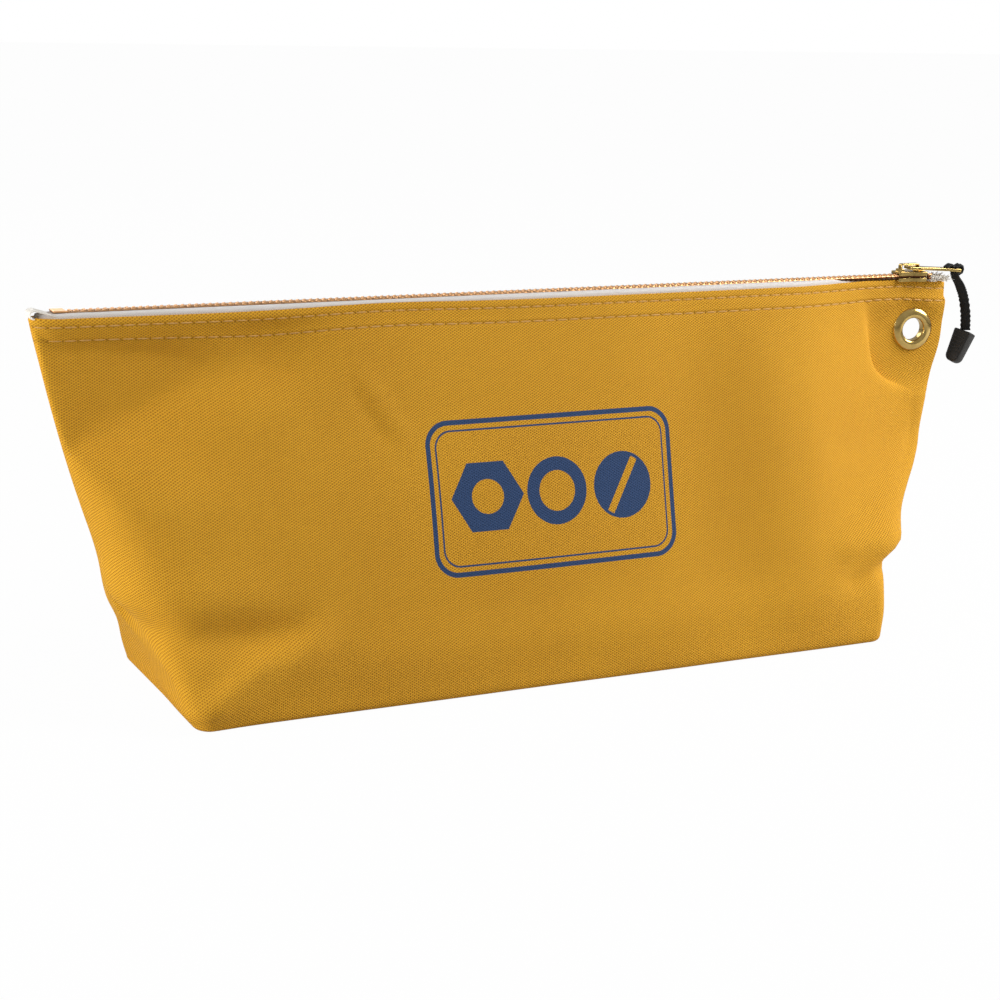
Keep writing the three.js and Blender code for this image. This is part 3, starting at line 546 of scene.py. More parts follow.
@functools.lru_cache(maxsize=None)
def cloth_distance(t, z):
    """Along the cloth from the middle of a wall."""
    half_length, half_depth, corner, corner_depth = section(z)[:4]
    part = abs(t)
    arc = math.pi / 2 * math.hypot(corner, corner_depth) / math.sqrt(2)
    length = ((half_length - corner) * min(part, 1) + arc * clamp(part - 1)
              + (half_depth - corner_depth) * clamp(part - 2))
    return math.copysign(length, t)


def drawn_together(along, z):
    """How far the grommet pins the two walls to each other, 0 to 1."""
    across = smooth((along - PINCH_LEFT + PINCH_REACH) / PINCH_REACH)
    above = 1 - smooth((z - HEM_BOTTOM) / (FOLD_START - HEM_BOTTOM))
    below = smooth((z - PINCH_BOTTOM + PINCH_DROP) / PINCH_DROP)
    return across * above * below


def pressed_flat(along, z):
    """How far the walls lie flat on each other below the grommet, and in the dent that
    the other end has taken under its hem, 0 to 1."""
    below_grommet = PRESSED_SHARE * ramp(along, PRESSED_ALONG) * ramp(z, PRESSED_UP)
    share = mix(DENT_SHARE, DENT_HEM_SHARE, ramp(z, DENT_HEM_SPAN))
    dent = ramp(-along, DENT_ALONG) * share * ramp(z, DENT_UP)
    return max(below_grommet, dent)


def clear_of_seam(t):
    """1 on the walls, and down to 0 at the seam."""
    return clamp((3 - abs(t)) * 4)


def plain_wall(t, z, side):
    """The wall before it takes its folds, and how flat the grommet draws it there."""
    half_depth, corner, corner_depth = section(z)[1:4]
    part = abs(t)
    flat = cloth_distance(t, z) / cloth_distance(3, z) * MOUTH_LENGTH / 2
    drawn = drawn_together(flat, z)
    end = end_reach(z, t > 0)
    pressed = pressed_flat(flat, z)
    depth = mix(half_depth, PINNED_OFFSET + FOLD_RADIUS, max(drawn, pressed))
    if t > 0:
        corner = mix(corner, PRESSED_CORNER, pressed)
    round_depth = min(corner_depth, depth - FOLD_RADIUS)
    angle = math.pi / 2 * clamp(part - 1)
    x = (end - corner) * part if part <= 1 else end - corner * (1 - math.sin(angle))
    y = mix(depth - round_depth * (1 - math.cos(angle)), 0, clamp(part - 2))
    y += (WALL_BULGE * math.cos(math.pi / 2 * clamp(part))
          * math.sin(math.pi * clamp(z / FOLD_HEIGHT)))
    boxed = Vector((math.copysign(x, t), side * y, z))
    if drawn < PIN_START:
        return boxed, 0.0
    over_ring = clamp(1 - ((flat - GROMMET_X) / RING_REACH) ** 2)
    start = GROMMET_Z + (PINCH_TOP - GROMMET_Z) * over_ring
    room = smooth((z - start) / (HEM_BOTTOM + HEM_SPREAD - start))
    offset = side * (PINNED_OFFSET + room * HEM_STACK) * clear_of_seam(t)
    pinned = Vector((flat * end / (MOUTH_LENGTH / 2), offset, z))
    flatness = smooth((drawn - PIN_START) / (1 - PIN_START))
    return boxed.lerp(pinned, flatness), flatness


def outward(t, z, side):
    """Away from the bag, square to the wall. By the seam it is taken a little before it."""
    t = max(-BESIDE_SEAM, min(BESIDE_SEAM, t))
    along = plain_wall(t + T_STEP, z, side)[0] - plain_wall(t - T_STEP, z, side)[0]
    rise = plain_wall(t, z + 1, side)[0] - plain_wall(t, z - 1, side)[0]
    return (rise.cross(along) * side).normalized()


def fold_relief(x, z, side):
    """How far the folds stand out of the wall."""
    total = 0.0
    for (x1, z1), (x2, z2), height, width in FRONT_FOLDS if side == FRONT else BACK_FOLDS:
        run = Vector((x2 - x1, z2 - z1))
        off = Vector((x - x1, z - z1))
        share = off.dot(run) / run.length_squared
        away = abs(off.x * run.y - off.y * run.x) / run.length
        past = max(0.0, -share, share - 1) * run.length
        total += height * math.exp(-(away / width) ** 2 - (past / width / FOLD_TAPER) ** 2)
    calm = smooth((FOLD_START - z) / CALM_TOP) * smooth(z / CALM_FOOT)
    wander = (CLOSE_WANDER * math.sin(x / 17 + side) * math.sin(z / 23 + 1.3)
              + BROAD_WANDER * math.sin(x / 41 + z / 29))
    return calm * (total + wander)


def turned(point):
    """The pinned cloth round the grommet is turned a little towards the left."""
    off = point - Vector((GROMMET_X, 0, GROMMET_Z))
    near = math.exp(-((off.x / TURN_REACH[0]) ** 2 + (off.z / TURN_REACH[1]) ** 2))
    return point - Vector((0, math.tan(GROMMET_TURN) * off.x * near, 0))


def canvas_point(t, z, side, inner=0.0):
    """A point on the finished wall, or further in by the given depth."""
    point, flatness = plain_wall(t, z, side)
    away = outward(t, z, side)
    from_seam = (3 - abs(t)) / SEAM_CALM
    seam = SEAM_DEPTH * math.exp(-(point.y / SEAM_WIDTH) ** 2)
    lift = fold_relief(point.x, z, side) * (1 - math.exp(-from_seam * from_seam))
    lift -= (seam * (1 - flatness) * smooth((HEM_BOTTOM - z) / SEAM_FADE_TOP)
             * smooth(z / SEAM_FADE_FOOT))
    lift = max(lift, -max(0.0, abs(point.y) - LEAST_DEPTH))
    inner *= mix(1, clear_of_seam(t), flatness)
    point += away * (lift - inner)
    if abs(t) >= 3:
        point.y = 0
    crown = math.exp(-((point.x - CROWN_X) / CROWN_REACH) ** 2)
    point.y -= side * CROWN_PINCH * crown * ramp(z, CROWN_PINCH_UP)
    point.z += CROWN_RISE * crown * ramp(z, CROWN_RISE_UP)
    point.z -= droop(point.x) * ramp(z, DROOP_UP)
    return turned(point)


def droop(x):
    """How far the mouth hangs down past the slider."""
    return MOUTH_DROOP * ramp(x, DROOP_ALONG)


def hem_point(t, z, side):
    return canvas_point(t, z, side, CANVAS_THICKNESS + HEM_LAYER_GAP)


def fold_point(t, angle, side):
    """Round the fold, from the outside at 0 to the hem at half a turn."""
    outer, inner = canvas_point(t, FOLD_START, side), hem_point(t, FOLD_START, side)
    middle = (outer + inner) / 2
    over = Vector((0, 0, FOLD_RADIUS * math.sin(angle)))
    return middle + (outer - middle) * math.cos(angle) + over


def foot_point(t, angle, side):
    """Round the fold at the foot of the wall, onto the base."""
    away = outward(t, BASE_FOLD_RADIUS, side)
    away = Vector((away.x, away.y, 0)).normalized()
    wall_foot = canvas_point(t, BASE_FOLD_RADIUS, side)
    point = wall_foot - away * BASE_FOLD_RADIUS * (1 - math.cos(angle))
    point.z = BASE_FOLD_RADIUS - (BASE_FOLD_RADIUS - MIDDLE) * math.sin(angle)
    return point


# The cloth's grid. A column is a t and a side. A line is what draws it, its height or
# angle, and how far down the cloth it lies, from the hem over the fold to the foot.
WALL_SLOPE = 1.033
FOOT_TURN = 5
LOWER_LINES = 57
HEM_HEIGHTS = (HEM_BOTTOM, 158.5, 161, 163.5, FOLD_START)
TOP_HEIGHTS = [165.2, 164.4, 163.5, 162.6, 161.5, 160, 158.5, 157.4, 156.3, 155, 153, 151]

half_turn = ([i / 70 for i in range(71)] + [1 + i / 9 for i in range(1, 10)]
             + [2 + i / 15 for i in range(1, 14)] + [2.92, 2.96, 3])
front_run = [-t for t in reversed(half_turn[1:])] + half_turn
ring = [(t, FRONT) for t in front_run] + [(t, BACK) for t in reversed(front_run)][1:]
drop = TOP_HEIGHTS[-1] - BASE_FOLD_RADIUS
heights = [FOLD_START] + TOP_HEIGHTS
heights += [TOP_HEIGHTS[-1] - drop * (i + 1) / LOWER_LINES for i in range(LOWER_LINES)]
rows = [(hem_point, z, -(FOLD_START - z) - math.pi * FOLD_RADIUS) for z in HEM_HEIGHTS]
rows += [(fold_point, math.radians(a), -math.radians(a) * FOLD_RADIUS)
         for a in (144, 108, 72, 36)]
rows += [(canvas_point, z, (FOLD_START - z) * WALL_SLOPE) for z in heights]
foot_cloth = rows[-1][2]
rows += [(foot_point, math.radians(a), foot_cloth + math.radians(a) * BASE_FOLD_RADIUS)
         for a in (18, 36, 54, 72, 90)]


def cloth_grid(bm, columns, lines, point_at, depth_at, start):
    """A flat grid, laid out as the cloth lies. Its UV map is the cloth's own threads,
    measured along each line of the grid from the start column."""
    bmesh.ops.create_grid(bm, x_segments=len(columns) - 1, y_segments=len(lines) - 1, size=1)
    uv = bm.loops.layers.uv.new("threads")
    table = [[None] * len(columns) for line in lines]
    for vert in bm.verts:
        i = round((vert.co.x + 1) / 2 * (len(columns) - 1))
        k = round((vert.co.y + 1) / 2 * (len(lines) - 1))
        vert.co = point_at(columns[i], lines[k])
        table[k][i] = vert
    walks = []
    for verts, line in zip(table, lines):
        walk = [0.0]
        for a, b in zip(verts, verts[1:]):
            walk.append(walk[-1] + (b.co - a.co).length)
        walk = [distance - walk[start] for distance in walk]
        walks.append(walk)
        for vert, distance in zip(verts, walk):
            for loop in vert.link_loops:
                loop[uv].uv = (distance / 1000, depth_at(line) / 1000)
    return table, walks


bm = bmesh.new()
table, walks = cloth_grid(bm, ring, rows,
                          lambda column, row: row[0](column[0], row[1], column[1]),
                          lambda row: row[2], ring.index((0.0, FRONT)))
near_hole = [f for f in bm.faces
             if math.hypot(f.calc_center_median().x - GROMMET_X,
                           f.calc_center_median().z - GROMMET_Z) < HOLE_RADIUS]
seam = [v for line in table for v in (line[0], line[-1])]
bmesh.ops.remove_doubles(bm, verts=seam, dist=0.001)
bmesh.ops.delete(bm, geom=near_hole, context="FACES")
foot = [e for e in bm.edges if e.is_boundary and all(v.co.z < 1 for v in e.verts)]
base = bmesh.ops.contextual_create(bm, geom=foot)["faces"]
uv = bm.loops.layers.uv["threads"]
for loop in base[0].loops:
    down = foot_cloth + FOOT_TURN + loop.vert.co.y + BASE_DEPTH / 2
    loop[uv].uv = (loop.vert.co.x / 1000, down / 1000)
bmesh.ops.recalc_face_normals(bm, faces=bm.faces)

# Its cloth: a plain weave of thick yarn, with thick and thin places in the yarn, painted
# lighter on each crossing that stands up and darker between them as painted light and shade.
# A plain two-line border with three fasteners, a nut, a washer and a slotted screw, is
# printed on the front in blue.
WARP_PITCH = 0.00194
WEFT_PITCH = 0.00119
PRINT_MIDDLE = (-0.0016, 0.0835)
PRINT_SIZE = (0.060, 0.033)
FRAME_RADIUS = 0.010
FRAME_LINE = 0.0011
INNER_INSET = 0.0036
INNER_RADIUS = 0.0075
INNER_LINE = 0.0004
MARK_SPACING = 0.034
MARK_RADIUS = 0.0150
NUT_BORE = 0.0076
WASHER_BORE = 0.0090
SLOT_LENGTH = 0.0136
SLOT_HALF = 0.0018
EDGE = 0.00012
STITCH_PITCH = 6.0
STITCH_ROWS = (163.5, 157.4)

duck, wire = new_finish("golden_duck")
threads = wire.node("UVMap", {"uv_map": "threads"})
spot = wire.spot()
place_y = spot.axes()[1]
u, v = threads.axes()[:2]
waver = threads.noise(260.0, 2.0)
u_yarn = u + (waver - 0.5) * 0.0005
v_yarn = v + (waver - 0.5) * 0.0004
warp = u_yarn * (2 * math.pi / WARP_PITCH)
weft = v_yarn * (2 * math.pi / WEFT_PITCH)
crossing = (warp - weft).cosine() * 0.21 - (warp + weft).cosine() * 0.29 + 0.5
cord_line = (warp * 2).cosine() * 0.5 + 0.5
slub_u, slub_v = [wire.node("Mapping", {}, {"Vector": threads, "Scale": stretch}).noise(1.0, 2.0)
                  for stretch in ((90.0, 1100.0, 1.0), (700.0, 70.0, 1.0))]
fibre = threads.noise(5200.0, 2.0)
cloud = spot.noise(14.0, 3.0)
# Painted light and shade: the weave's crossings and cords make the cloth lighter where they stand
# up and darker between them; the slubs, fibres and cloud are the yarn's own uneven tone.
tone_and_weave_shade = (crossing * 0.42 + slub_u * 0.05 + slub_v * 0.05 + fibre * 0.22 + cord_line * 0.12
         + cloud * 0.14)
golden = wire.node("ValToRGB", {"stops": [
    (0.24, color(0.30, 0.125, 0.006)),
    (0.50, color(0.570, 0.268, 0.010)),
    (0.78, color(0.800, 0.440, 0.024)),
]}, {0: tone_and_weave_shade})

a = u - PRINT_MIDDLE[0]
b = v - PRINT_MIDDLE[1]
half_wide, half_high = PRINT_SIZE


def rounded_box(a, b, half_a, half_b, radius):
    """Distance outside a rounded box, under 0 inside it."""
    over_a = (abs(a) - (half_a - radius)).more(0.0)
    over_b = (abs(b) - (half_b - radius)).more(0.0)
    return (over_a * over_a + over_b * over_b).root() - radius


def disc(a, b):
    return (a * a + b * b).root()


def hexagon(a, b):
    return (abs(a) * 0.866 + abs(b) * 0.5).more(abs(b))


frame_line = abs(rounded_box(a, b, half_wide, half_high, FRAME_RADIUS)).below(FRAME_LINE, EDGE)
inner_line = abs(rounded_box(a, b, half_wide - INNER_INSET, half_high - INNER_INSET,
                             INNER_RADIUS)).below(INNER_LINE, EDGE)
nut_bore = disc(a + MARK_SPACING, b).below(NUT_BORE, EDGE)
nut_mark = hexagon(a + MARK_SPACING, b).below(MARK_RADIUS, EDGE) * (1 - nut_bore)
washer_mark = disc(a, b).below(MARK_RADIUS, EDGE) * (1 - disc(a, b).below(WASHER_BORE, EDGE))
head = disc(a - MARK_SPACING, b)
slot_mark = (abs((a - MARK_SPACING) * 0.866 + b * 0.5).below(SLOT_HALF, EDGE)
             * head.below(SLOT_LENGTH, EDGE))
screw_mark = head.below(MARK_RADIUS, EDGE) * (1 - slot_mark)
marks = frame_line.more(inner_line)
for mark in (nut_mark, washer_mark, screw_mark):
    marks = marks.more(mark)
on_front = place_y.below(-0.004, 0.001)
worn_ink = (crossing * 0.5 + fibre * 0.5).below(0.80, 0.14)
ink = marks * on_front * (worn_ink * 0.12 + 0.86)
ink_blue = tone_and_weave_shade.tint(color(0.004, 0.026, 0.085), color(0.018, 0.070, 0.190))
printed = ink.tint(golden, ink_blue)


def stitch_line(z):
    """The groove that one row of stitches pulls into the cloth, and its needle holes."""
    off_line = abs(v - (FOLD_START - z) * WALL_SLOPE / 1000)
    gap = abs((u * (math.pi * 1000 / STITCH_PITCH)).sine())
    return off_line.below(0.0007, 0.0006), off_line.below(0.0004, 0.0002) * gap.below(0.16, 0.06)


(top_groove, top_holes), (low_groove, low_holes) = [stitch_line(z) for z in STITCH_ROWS]
grooves = low_groove.more(top_groove)
holes = low_holes.more(top_holes)
# Painted shade: the cloth is painted darker in the grooves that the stitches pull in, and darker
# still in the needle holes.
stitch_shaded_colour = (holes * 0.45 + grooves * 0.10).tint(printed, color(0.14, 0.052, 0.004))
relief = crossing + cord_line * 0.2 + fibre * 0.3 - grooves * 1.6 - holes * 1.2
coat(wire,
     Base_Color=stitch_shaded_colour,
     Roughness=fibre * 0.1 + 0.82,
     Specular_IOR_Level=0.3,
     Normal=relief.bump(0.00022))

canvas = piece("canvas", bm, duck, "bag")
wall = canvas.modifiers.new("cloth thickness", "SOLIDIFY")
wall.thickness = CANVAS_THICKNESS / 1000
wall.offset = 0
wall.use_even_offset = False
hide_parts("canvas_body")


# Hem stitching: two rows of lockstitch in tan thread on each wall, which hold the hem
# and the zip tape. Each stitch is a short, fat length of thread pulled into the cloth.
THREAD_THICKNESS = 0.62
THREAD_SPREAD = 0.62
THREAD_LIFT = 0.02
STITCH_LENGTH = 4.9
LAST_STITCH = 2.6

thread, wire = new_finish("tan_thread")
spot = wire.spot()
twist = spot.noise(1500.0, 2.0)
coat(wire,
     Base_Color=twist.tint(color(0.42, 0.20, 0.030), color(0.68, 0.39, 0.10)),
     Roughness=0.7,
     Normal=twist.bump(0.0001))


def stitch_places(z, side):
    """Where each stitch starts and ends on the wall, by the cloth's own measure."""
    walk = walks[[row[:2] for row in rows].index((canvas_point, z))]
    line = [(distance, t) for distance, (t, face) in zip(walk, ring)
            if face == side and abs(t) <= LAST_STITCH]
    first = math.ceil(line[0][0] / STITCH_PITCH)
    last = math.floor(line[-1][0] / STITCH_PITCH)
    places = []
    for k in range(first, last):
        ends = []
        for distance in ((k + 0.5) * STITCH_PITCH - STITCH_LENGTH / 2,
                         (k + 0.5) * STITCH_PITCH + STITCH_LENGTH / 2):
            for (d1, t1), (d2, t2) in zip(line, line[1:]):
                if d1 <= distance < d2:
                    ends.append(mix(t1, t2, (distance - d1) / (d2 - d1)))
        if len(ends) == 2:
            places.append(ends)
    return places


for side, name in ((FRONT, "front_hem_stitches"), (BACK, "back_hem_stitches")):
    bm = bmesh.new()
    for z in STITCH_ROWS:
        for start, end in stitch_places(z, side):
            a = canvas_point(start, z, side)
            b = canvas_point(end, z, side)
            along = (b - a).normalized()
            away = outward((start + end) / 2, z, side)
            rise = away.cross(along).normalized()
            away = along.cross(rise)
            middle = (a + b) / 2 + away * (MIDDLE + THREAD_LIFT)
            turn = Matrix((along, rise, away)).transposed().to_4x4()
            size = Matrix.Diagonal(((b - a).length / 2, THREAD_THICKNESS * THREAD_SPREAD,
                                    THREAD_THICKNESS / 2, 1))
            bmesh.ops.create_uvsphere(bm, u_segments=6, v_segments=8, radius=1,
                                      matrix=Matrix.Translation(middle) @ turn @ size
                                      @ Matrix.Rotation(math.pi / 2, 4, "Y"))
    piece(name, bm, thread, "bag")


# Zip tape: woven cotton tape down each side of the chain, sewn inside the hem. It comes
# up past the fold, bends over and ends at the cord that the teeth are clamped on.
TAPE_THICKNESS = 0.6
TAPE_DEPTH = 2.15
TAPE_END = 1.4
TAPE_LEFT_END = 1.8
CHAIN_Z = 168.3
TAPE_EDGE = 3.1
PARTING_START = 204.2
PARTING_LENGTH = 7
ROW_PARTING = 1.7
TAPE_BEND = 2 * TAPE_THICKNESS
INSIDE_LINES = 5
CLOSING_SPAN = (204, 6)
CLOSED_EDGE = 0.2
CHAIN_DROOP = 0.7
TAPE_STEPS = 220
TAPE_LINE_PITCH = 2.2

tape_cloth, wire = new_finish("tape_cloth")
threads = wire.node("UVMap", {"uv_map": "threads"})
spot = wire.spot()
u, v = threads.axes()[:2]
rib = (v * (2 * math.pi / 0.0009)).sine()
twill = (u * (2 * math.pi / 0.0011) + v * 3200).sine()
lint = spot.noise(2400.0, 3.0)
weave = rib * 0.25 + twill * 0.25 + lint * 0.5 + 0.25
tape_color = weave.tint(color(0.56, 0.52, 0.49), color(0.90, 0.87, 0.84))
coat(wire,
     Base_Color=tape_color,
     Roughness=0.9,
     Sheen_Weight=0.2,
     Normal=weave.bump(0.00012))


def row_parting(x):
    return ROW_PARTING * smooth((x - PARTING_START) / PARTING_LENGTH)


def tape_point(t, k, side):
    """Across the tape, from its edge inside the bag at 0 to the teeth at 9."""
    if k < INSIDE_LINES:
        z = mix(HEM_BOTTOM, FOLD_START, k / (INSIDE_LINES - 1))
        return canvas_point(t, z, side, TAPE_DEPTH)
    top = canvas_point(t, FOLD_START, side, TAPE_DEPTH)
    y = abs(top.y)
    closing = ramp(-top.x, CLOSING_SPAN)
    edge = min(mix(TAPE_EDGE + row_parting(top.x), CLOSED_EDGE, closing), y - TAPE_BEND)
    over = [
        (y, -TAPE_BEND),
        (y - TAPE_BEND * 0.12, -TAPE_BEND * 0.55),
        (y - TAPE_BEND * 0.45, -TAPE_BEND * 0.12),
        (y - TAPE_BEND * 0.9, 0),
        (edge, 0),
    ][k - INSIDE_LINES]
    return Vector((top.x, side * over[0], CHAIN_Z + over[1] - CHAIN_DROOP * droop(top.x)))


for side, name in ((FRONT, "front_tape"), (BACK, "back_tape")):
    bm = bmesh.new()
    stations = [mix(-TAPE_LEFT_END, TAPE_END, i / TAPE_STEPS) for i in range(TAPE_STEPS + 1)]
    cloth_grid(bm, stations, list(range(2 * INSIDE_LINES)), lambda t, k: tape_point(t, k, side),
               lambda k: k * TAPE_LINE_PITCH, TAPE_STEPS // 2)
    bmesh.ops.recalc_face_normals(bm, faces=bm.faces)
    tape = piece(name, bm, tape_cloth, "bag")
    thickness = tape.modifiers.new("tape thickness", "SOLIDIFY")
    thickness.thickness = TAPE_THICKNESS / 1000
    thickness.offset = 0
    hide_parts("front_zip_tape" if side == FRONT else "back_zip_tape")

# Tape ends: past the bottom stop the tapes are turned back in a soft loop, and past the
# slider they are cut and have frayed into loose cotton threads.
LOOP_ROUTE = [(-218.2, 167.4), (-221, 168.3), (-224.5, 169.4), (-227, 170.0), (-228.6, 168.6),
              (-227.4, 166.8), (-224, 166.0), (-219, 165.8)]
LOOP_WIDTH = 8.6
LOOP_NARROWING = 0.08
LOOP_THICKNESS = 0.9
LOOP_SQUARENESS = 0.6
FRAY_COUNT = 420

cotton, wire = new_finish("frayed_cotton")
spot = wire.spot()
lint = spot.noise(1800.0, 3.0)
coat(wire,
     Base_Color=lint.tint(color(0.60, 0.55, 0.46), color(0.93, 0.90, 0.84)),
     Roughness=0.95,
     Sheen_Weight=0.4,
     Normal=lint.bump(0.0002))

bm = bmesh.new()
loop_route = smooth_route([Vector((a, 0, b)) for a, b in LOOP_ROUTE], 5)


def loop_section(i, angle):
    return oval(LOOP_WIDTH - LOOP_NARROWING * i, LOOP_THICKNESS, LOOP_SQUARENESS)(i, angle)


loft(bm, loop_route, loop_section, lambda i: Vector((0, 1, 0)), 16)
bmesh.ops.recalc_face_normals(bm, faces=bm.faces)
piece("tape_loop", bm, cotton, "bag", 60)

bm = bmesh.new()
loose = random.Random(7)
for i in range(FRAY_COUNT):
    start = Vector((loose.uniform(216, 228), loose.uniform(-5.4, 5.0), loose.uniform(165.6, 167.6)))
    lean = Vector((loose.uniform(-0.2, 1.0), loose.uniform(-0.9, 0.8), loose.uniform(0.0, 0.9)))
    length = loose.uniform(1.4, 3.4)
    curl = Vector((loose.uniform(-1, 1), loose.uniform(-1, 1), loose.uniform(-1.2, 0.4))) * 0.8
    thin = loose.uniform(0.13, 0.26)
    strand = [start + lean * length * s + curl * s * s for s in (0, 0.25, 0.5, 0.75, 1)]
    loft(bm, strand, lambda k, angle: (thin * (1.25 - k / 4) * math.cos(angle),
                                       thin * (1.25 - k / 4) * math.sin(angle)),
         lambda k: Vector((0.3, 1, 0.1)), 5)
bmesh.ops.recalc_face_normals(bm, faces=bm.faces)
piece("tape_fray", bm, cotton, "bag")


# Chain, stops and puller: metal parts keep the shapes that they have, with their edges
# rounded over. Teeth and stops are antique brass, painted dark low down as shade in the
# hollows and painted bright on top as a highlight, and the slider, its bridge and the pull
# tab are polished brass.
antique, wire = new_finish("antique_brass")
spot = wire.spot()
place_z = spot.axes()[2]
tarnish = spot.noise(700.0, 3.0)
# Painted light: the brass is painted dark below the top of the chain, as shade in the hollows, and
# bright on top, as a highlight, with the tarnish noise wandering the edge between.
painted_light_by_height = (place_z * 1000 - (CHAIN_Z + 0.15)) / 0.75 + (tarnish - 0.5) * 0.6
painted_light_by_height = painted_light_by_height.node("Clamp", {}, {0: painted_light_by_height})
coat(wire,
     Base_Color=painted_light_by_height.tint(color(0.10, 0.040, 0.016), color(0.82, 0.45, 0.20)),
     Metallic=1.0,
     Roughness=tarnish * 0.25 + 0.24,
     Normal=tarnish.bump(0.00005))

polished, wire = new_finish("polished_brass")
spot = wire.spot()
smear = spot.noise(240.0, 3.0)
scuff = spot.noise(2200.0, 2.0)
coat(wire,
     Base_Color=smear.tint(color(0.34, 0.22, 0.06), color(0.70, 0.50, 0.18)),
     Metallic=1.0,
     Roughness=smear * 0.14 + 0.12,
     Normal=scuff.bump(0.000012))


def rounded_copy(node, name, material, body, width, segments):
    """A piece with a node's own shape and softened edges."""
    bm = bmesh.new()
    bm.from_mesh(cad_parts[node].data)
    bmesh.ops.transform(bm, matrix=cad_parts[node].matrix_world, verts=bm.verts)
    bmesh.ops.scale(bm, vec=(1000, 1000, 1000), verts=bm.verts)
    bmesh.ops.remove_doubles(bm, verts=bm.verts, dist=0.002)
    bmesh.ops.dissolve_limit(bm, angle_limit=math.radians(2), verts=bm.verts, edges=bm.edges)
    made = piece(name, bm, material, body, 40)
    soft = made.modifiers.new("soft edges", "BEVEL")
    soft.width = width / 1000
    soft.segments = segments
    soft.limit_method = "ANGLE"
    soft.angle_limit = math.radians(32)
    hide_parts(node)
    return made


rounded_copy("front_tooth_row", "front_teeth", antique, "bag", 0.3, 2)
rounded_copy("back_tooth_row", "back_teeth", antique, "bag", 0.3, 2)
rounded_copy("bottom_stop", "end_stop", antique, "bag", 0.3, 3)
rounded_copy("front_top_stop", "front_stop", antique, "bag", 0.2, 2)
rounded_copy("back_top_stop", "back_stop", antique, "bag", 0.2, 2)
rounded_copy("slider_body", "slider_plates", polished, "slider", 0.22, 3)
rounded_copy("slider_bridge", "slider_arch", polished, "slider", 0.26, 3)
rounded_copy("pull_tab", "pull_plate", polished, "tab", 0.4, 3)


# Grommet: a brass eyelet pressed through both walls near the corner. Its barrel is
# rolled over a washer behind, and its front flange is a smooth dome.
RING_SEGMENTS = 72
EYELET_PROFILE = [
    (5.5, -0.9), (5.56, -1.6), (5.75, -2.15), (6.15, -2.56), (6.7, -2.8), (7.4, -2.88),
    (8.2, -2.8), (9.0, -2.55), (9.7, -2.14), (10.22, -1.7), (10.5, -1.36), (10.1, -1.30),
    (9.0, -1.34), (6.4, -1.34), (6.02, -1.2), (6.0, 2.0), (6.3, 2.3), (8.2, 2.32), (8.45, 2.6),
    (8.2, 2.95), (7.3, 3.22), (6.5, 3.1), (5.95, 2.7), (5.62, 2.1), (5.5, 1.3),
]
WASHER_PROFILE = [
    (6.3, 1.36), (9.3, 1.36), (9.5, 1.5), (9.5, 1.72), (9.3, 1.9), (8.9, 1.98), (6.3, 1.98),
]


def turned_ring(profile):
    """A profile, radius and depth, spun once round the grommet's middle."""
    bm = bmesh.new()
    start = [bm.verts.new((GROMMET_X + r, y, GROMMET_Z)) for r, y in profile]
    edges = [bm.edges.new((start[k - 1], start[k])) for k in range(len(start))]
    bmesh.ops.spin(bm, geom=start + edges, cent=(GROMMET_X, 0, GROMMET_Z), axis=(0, 1, 0),
                   angle=2 * math.pi, steps=RING_SEGMENTS, use_merge=True, use_duplicate=False)
    bmesh.ops.remove_doubles(bm, verts=bm.verts, dist=0.001)
    bmesh.ops.rotate(bm, cent=(GROMMET_X, 0, GROMMET_Z), verts=bm.verts,
                     matrix=Matrix.Rotation(-GROMMET_TURN, 3, "Z"))
    bmesh.ops.recalc_face_normals(bm, faces=bm.faces)
    return bm


eyelet = piece("eyelet", turned_ring(EYELET_PROFILE), polished, "bag", 60)
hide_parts("grommet_eyelet")
backing = piece("backing_washer", turned_ring(WASHER_PROFILE), polished, "bag",
                40)
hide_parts("grommet_washer")


# Studio: a grey floor that is almost white to the camera and keeps a trace of the bag's
# shadow, in a dim white room. Two broad soft lamps stand at the right and the left, and
# a weaker one behind.
FLOOR_WHITE = 0.98
AMBIENT = 0.12
ROOM_IN_REFLECTIONS = 0.4

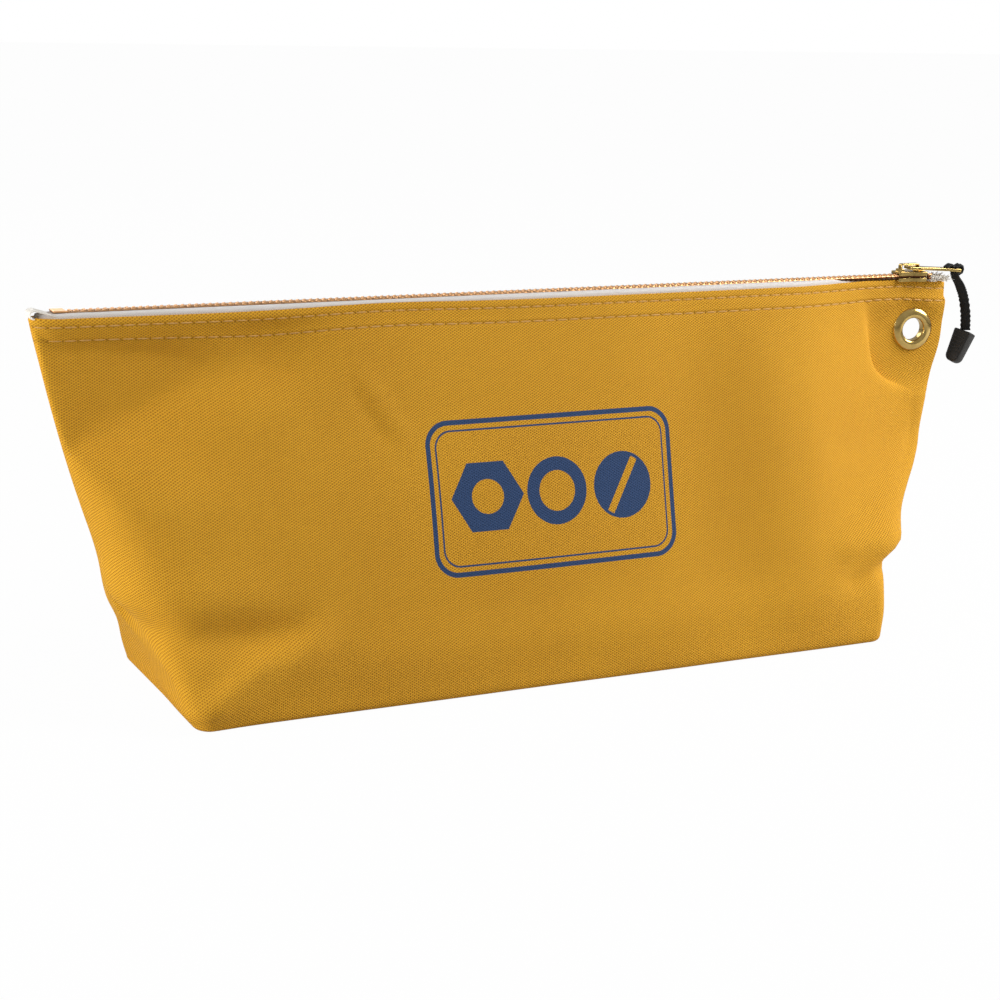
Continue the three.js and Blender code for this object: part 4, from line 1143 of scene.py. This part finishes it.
paper, wire = new_finish("studio_floor")
seen = wire.node("LightPath")
shader = wire.node("BsdfPrincipled", {}, {"Base Color": color(0.62, 0.62, 0.62), "Roughness": 0.9})
glow = wire.node("Emission", {}, {"Color": color(1, 1, 1), "Strength": 1.0})
both = wire.node("MixShader", {}, {0: seen * FLOOR_WHITE, 1: shader, 2: glow})
wire.node("OutputMaterial", {}, {"Surface": both})

bm = bmesh.new()
bmesh.ops.create_grid(bm, x_segments=1, y_segments=1, size=4)
floor_mesh = bpy.data.meshes.new("floor")
bm.to_mesh(floor_mesh)
bm.free()
floor_mesh.materials.append(paper)
floor = bpy.data.objects.new("floor", floor_mesh)
floor.location.z = -0.0002
bpy.context.collection.objects.link(floor)

world = bpy.context.scene.world or bpy.data.worlds.new("studio")
bpy.context.scene.world = world
world.use_nodes = True
world.node_tree.nodes.clear()
sky = Wire(world.node_tree)
path = sky.node("LightPath")
seen = path.more(Wire(sky.tree, path.socket.node.outputs["Is Transmission Ray"]))
glossy = Wire(sky.tree, path.socket.node.outputs["Is Glossy Ray"])
seen = seen.more(glossy * ROOM_IN_REFLECTIONS)
strength = seen * (1 - AMBIENT) + AMBIENT
sky.node("OutputWorld", {}, {"Surface": sky.node("Background", {}, {
    "Color": color(1, 1, 1), "Strength": strength})})


def lamp(name, place, aim, size, power):
    data = bpy.data.lights.new(name, "AREA")
    data.shape = "RECTANGLE"
    data.size, data.size_y = size
    data.energy = power
    made = bpy.data.objects.new(name, data)
    place, aim = Vector(place), Vector(aim)
    made.location = place
    made.rotation_euler = (place - aim).to_track_quat("Z", "Y").to_euler()
    bpy.context.collection.objects.link(made)


lamp("right_softbox", (0.92, -0.42, 0.74), (0.05, 0, 0.08), (0.5, 0.5), 18.0)
lamp("left_softbox", (-1.0, -0.10, 0.32), (-0.2, 0, 0.05), (0.4, 0.4), 8.5)
lamp("back_softbox", (-0.2, 1.3, 0.75), (0, 0, 0.08), (0.8, 0.5), 4.5)

bpy.context.scene.view_settings.view_transform = "Standard"
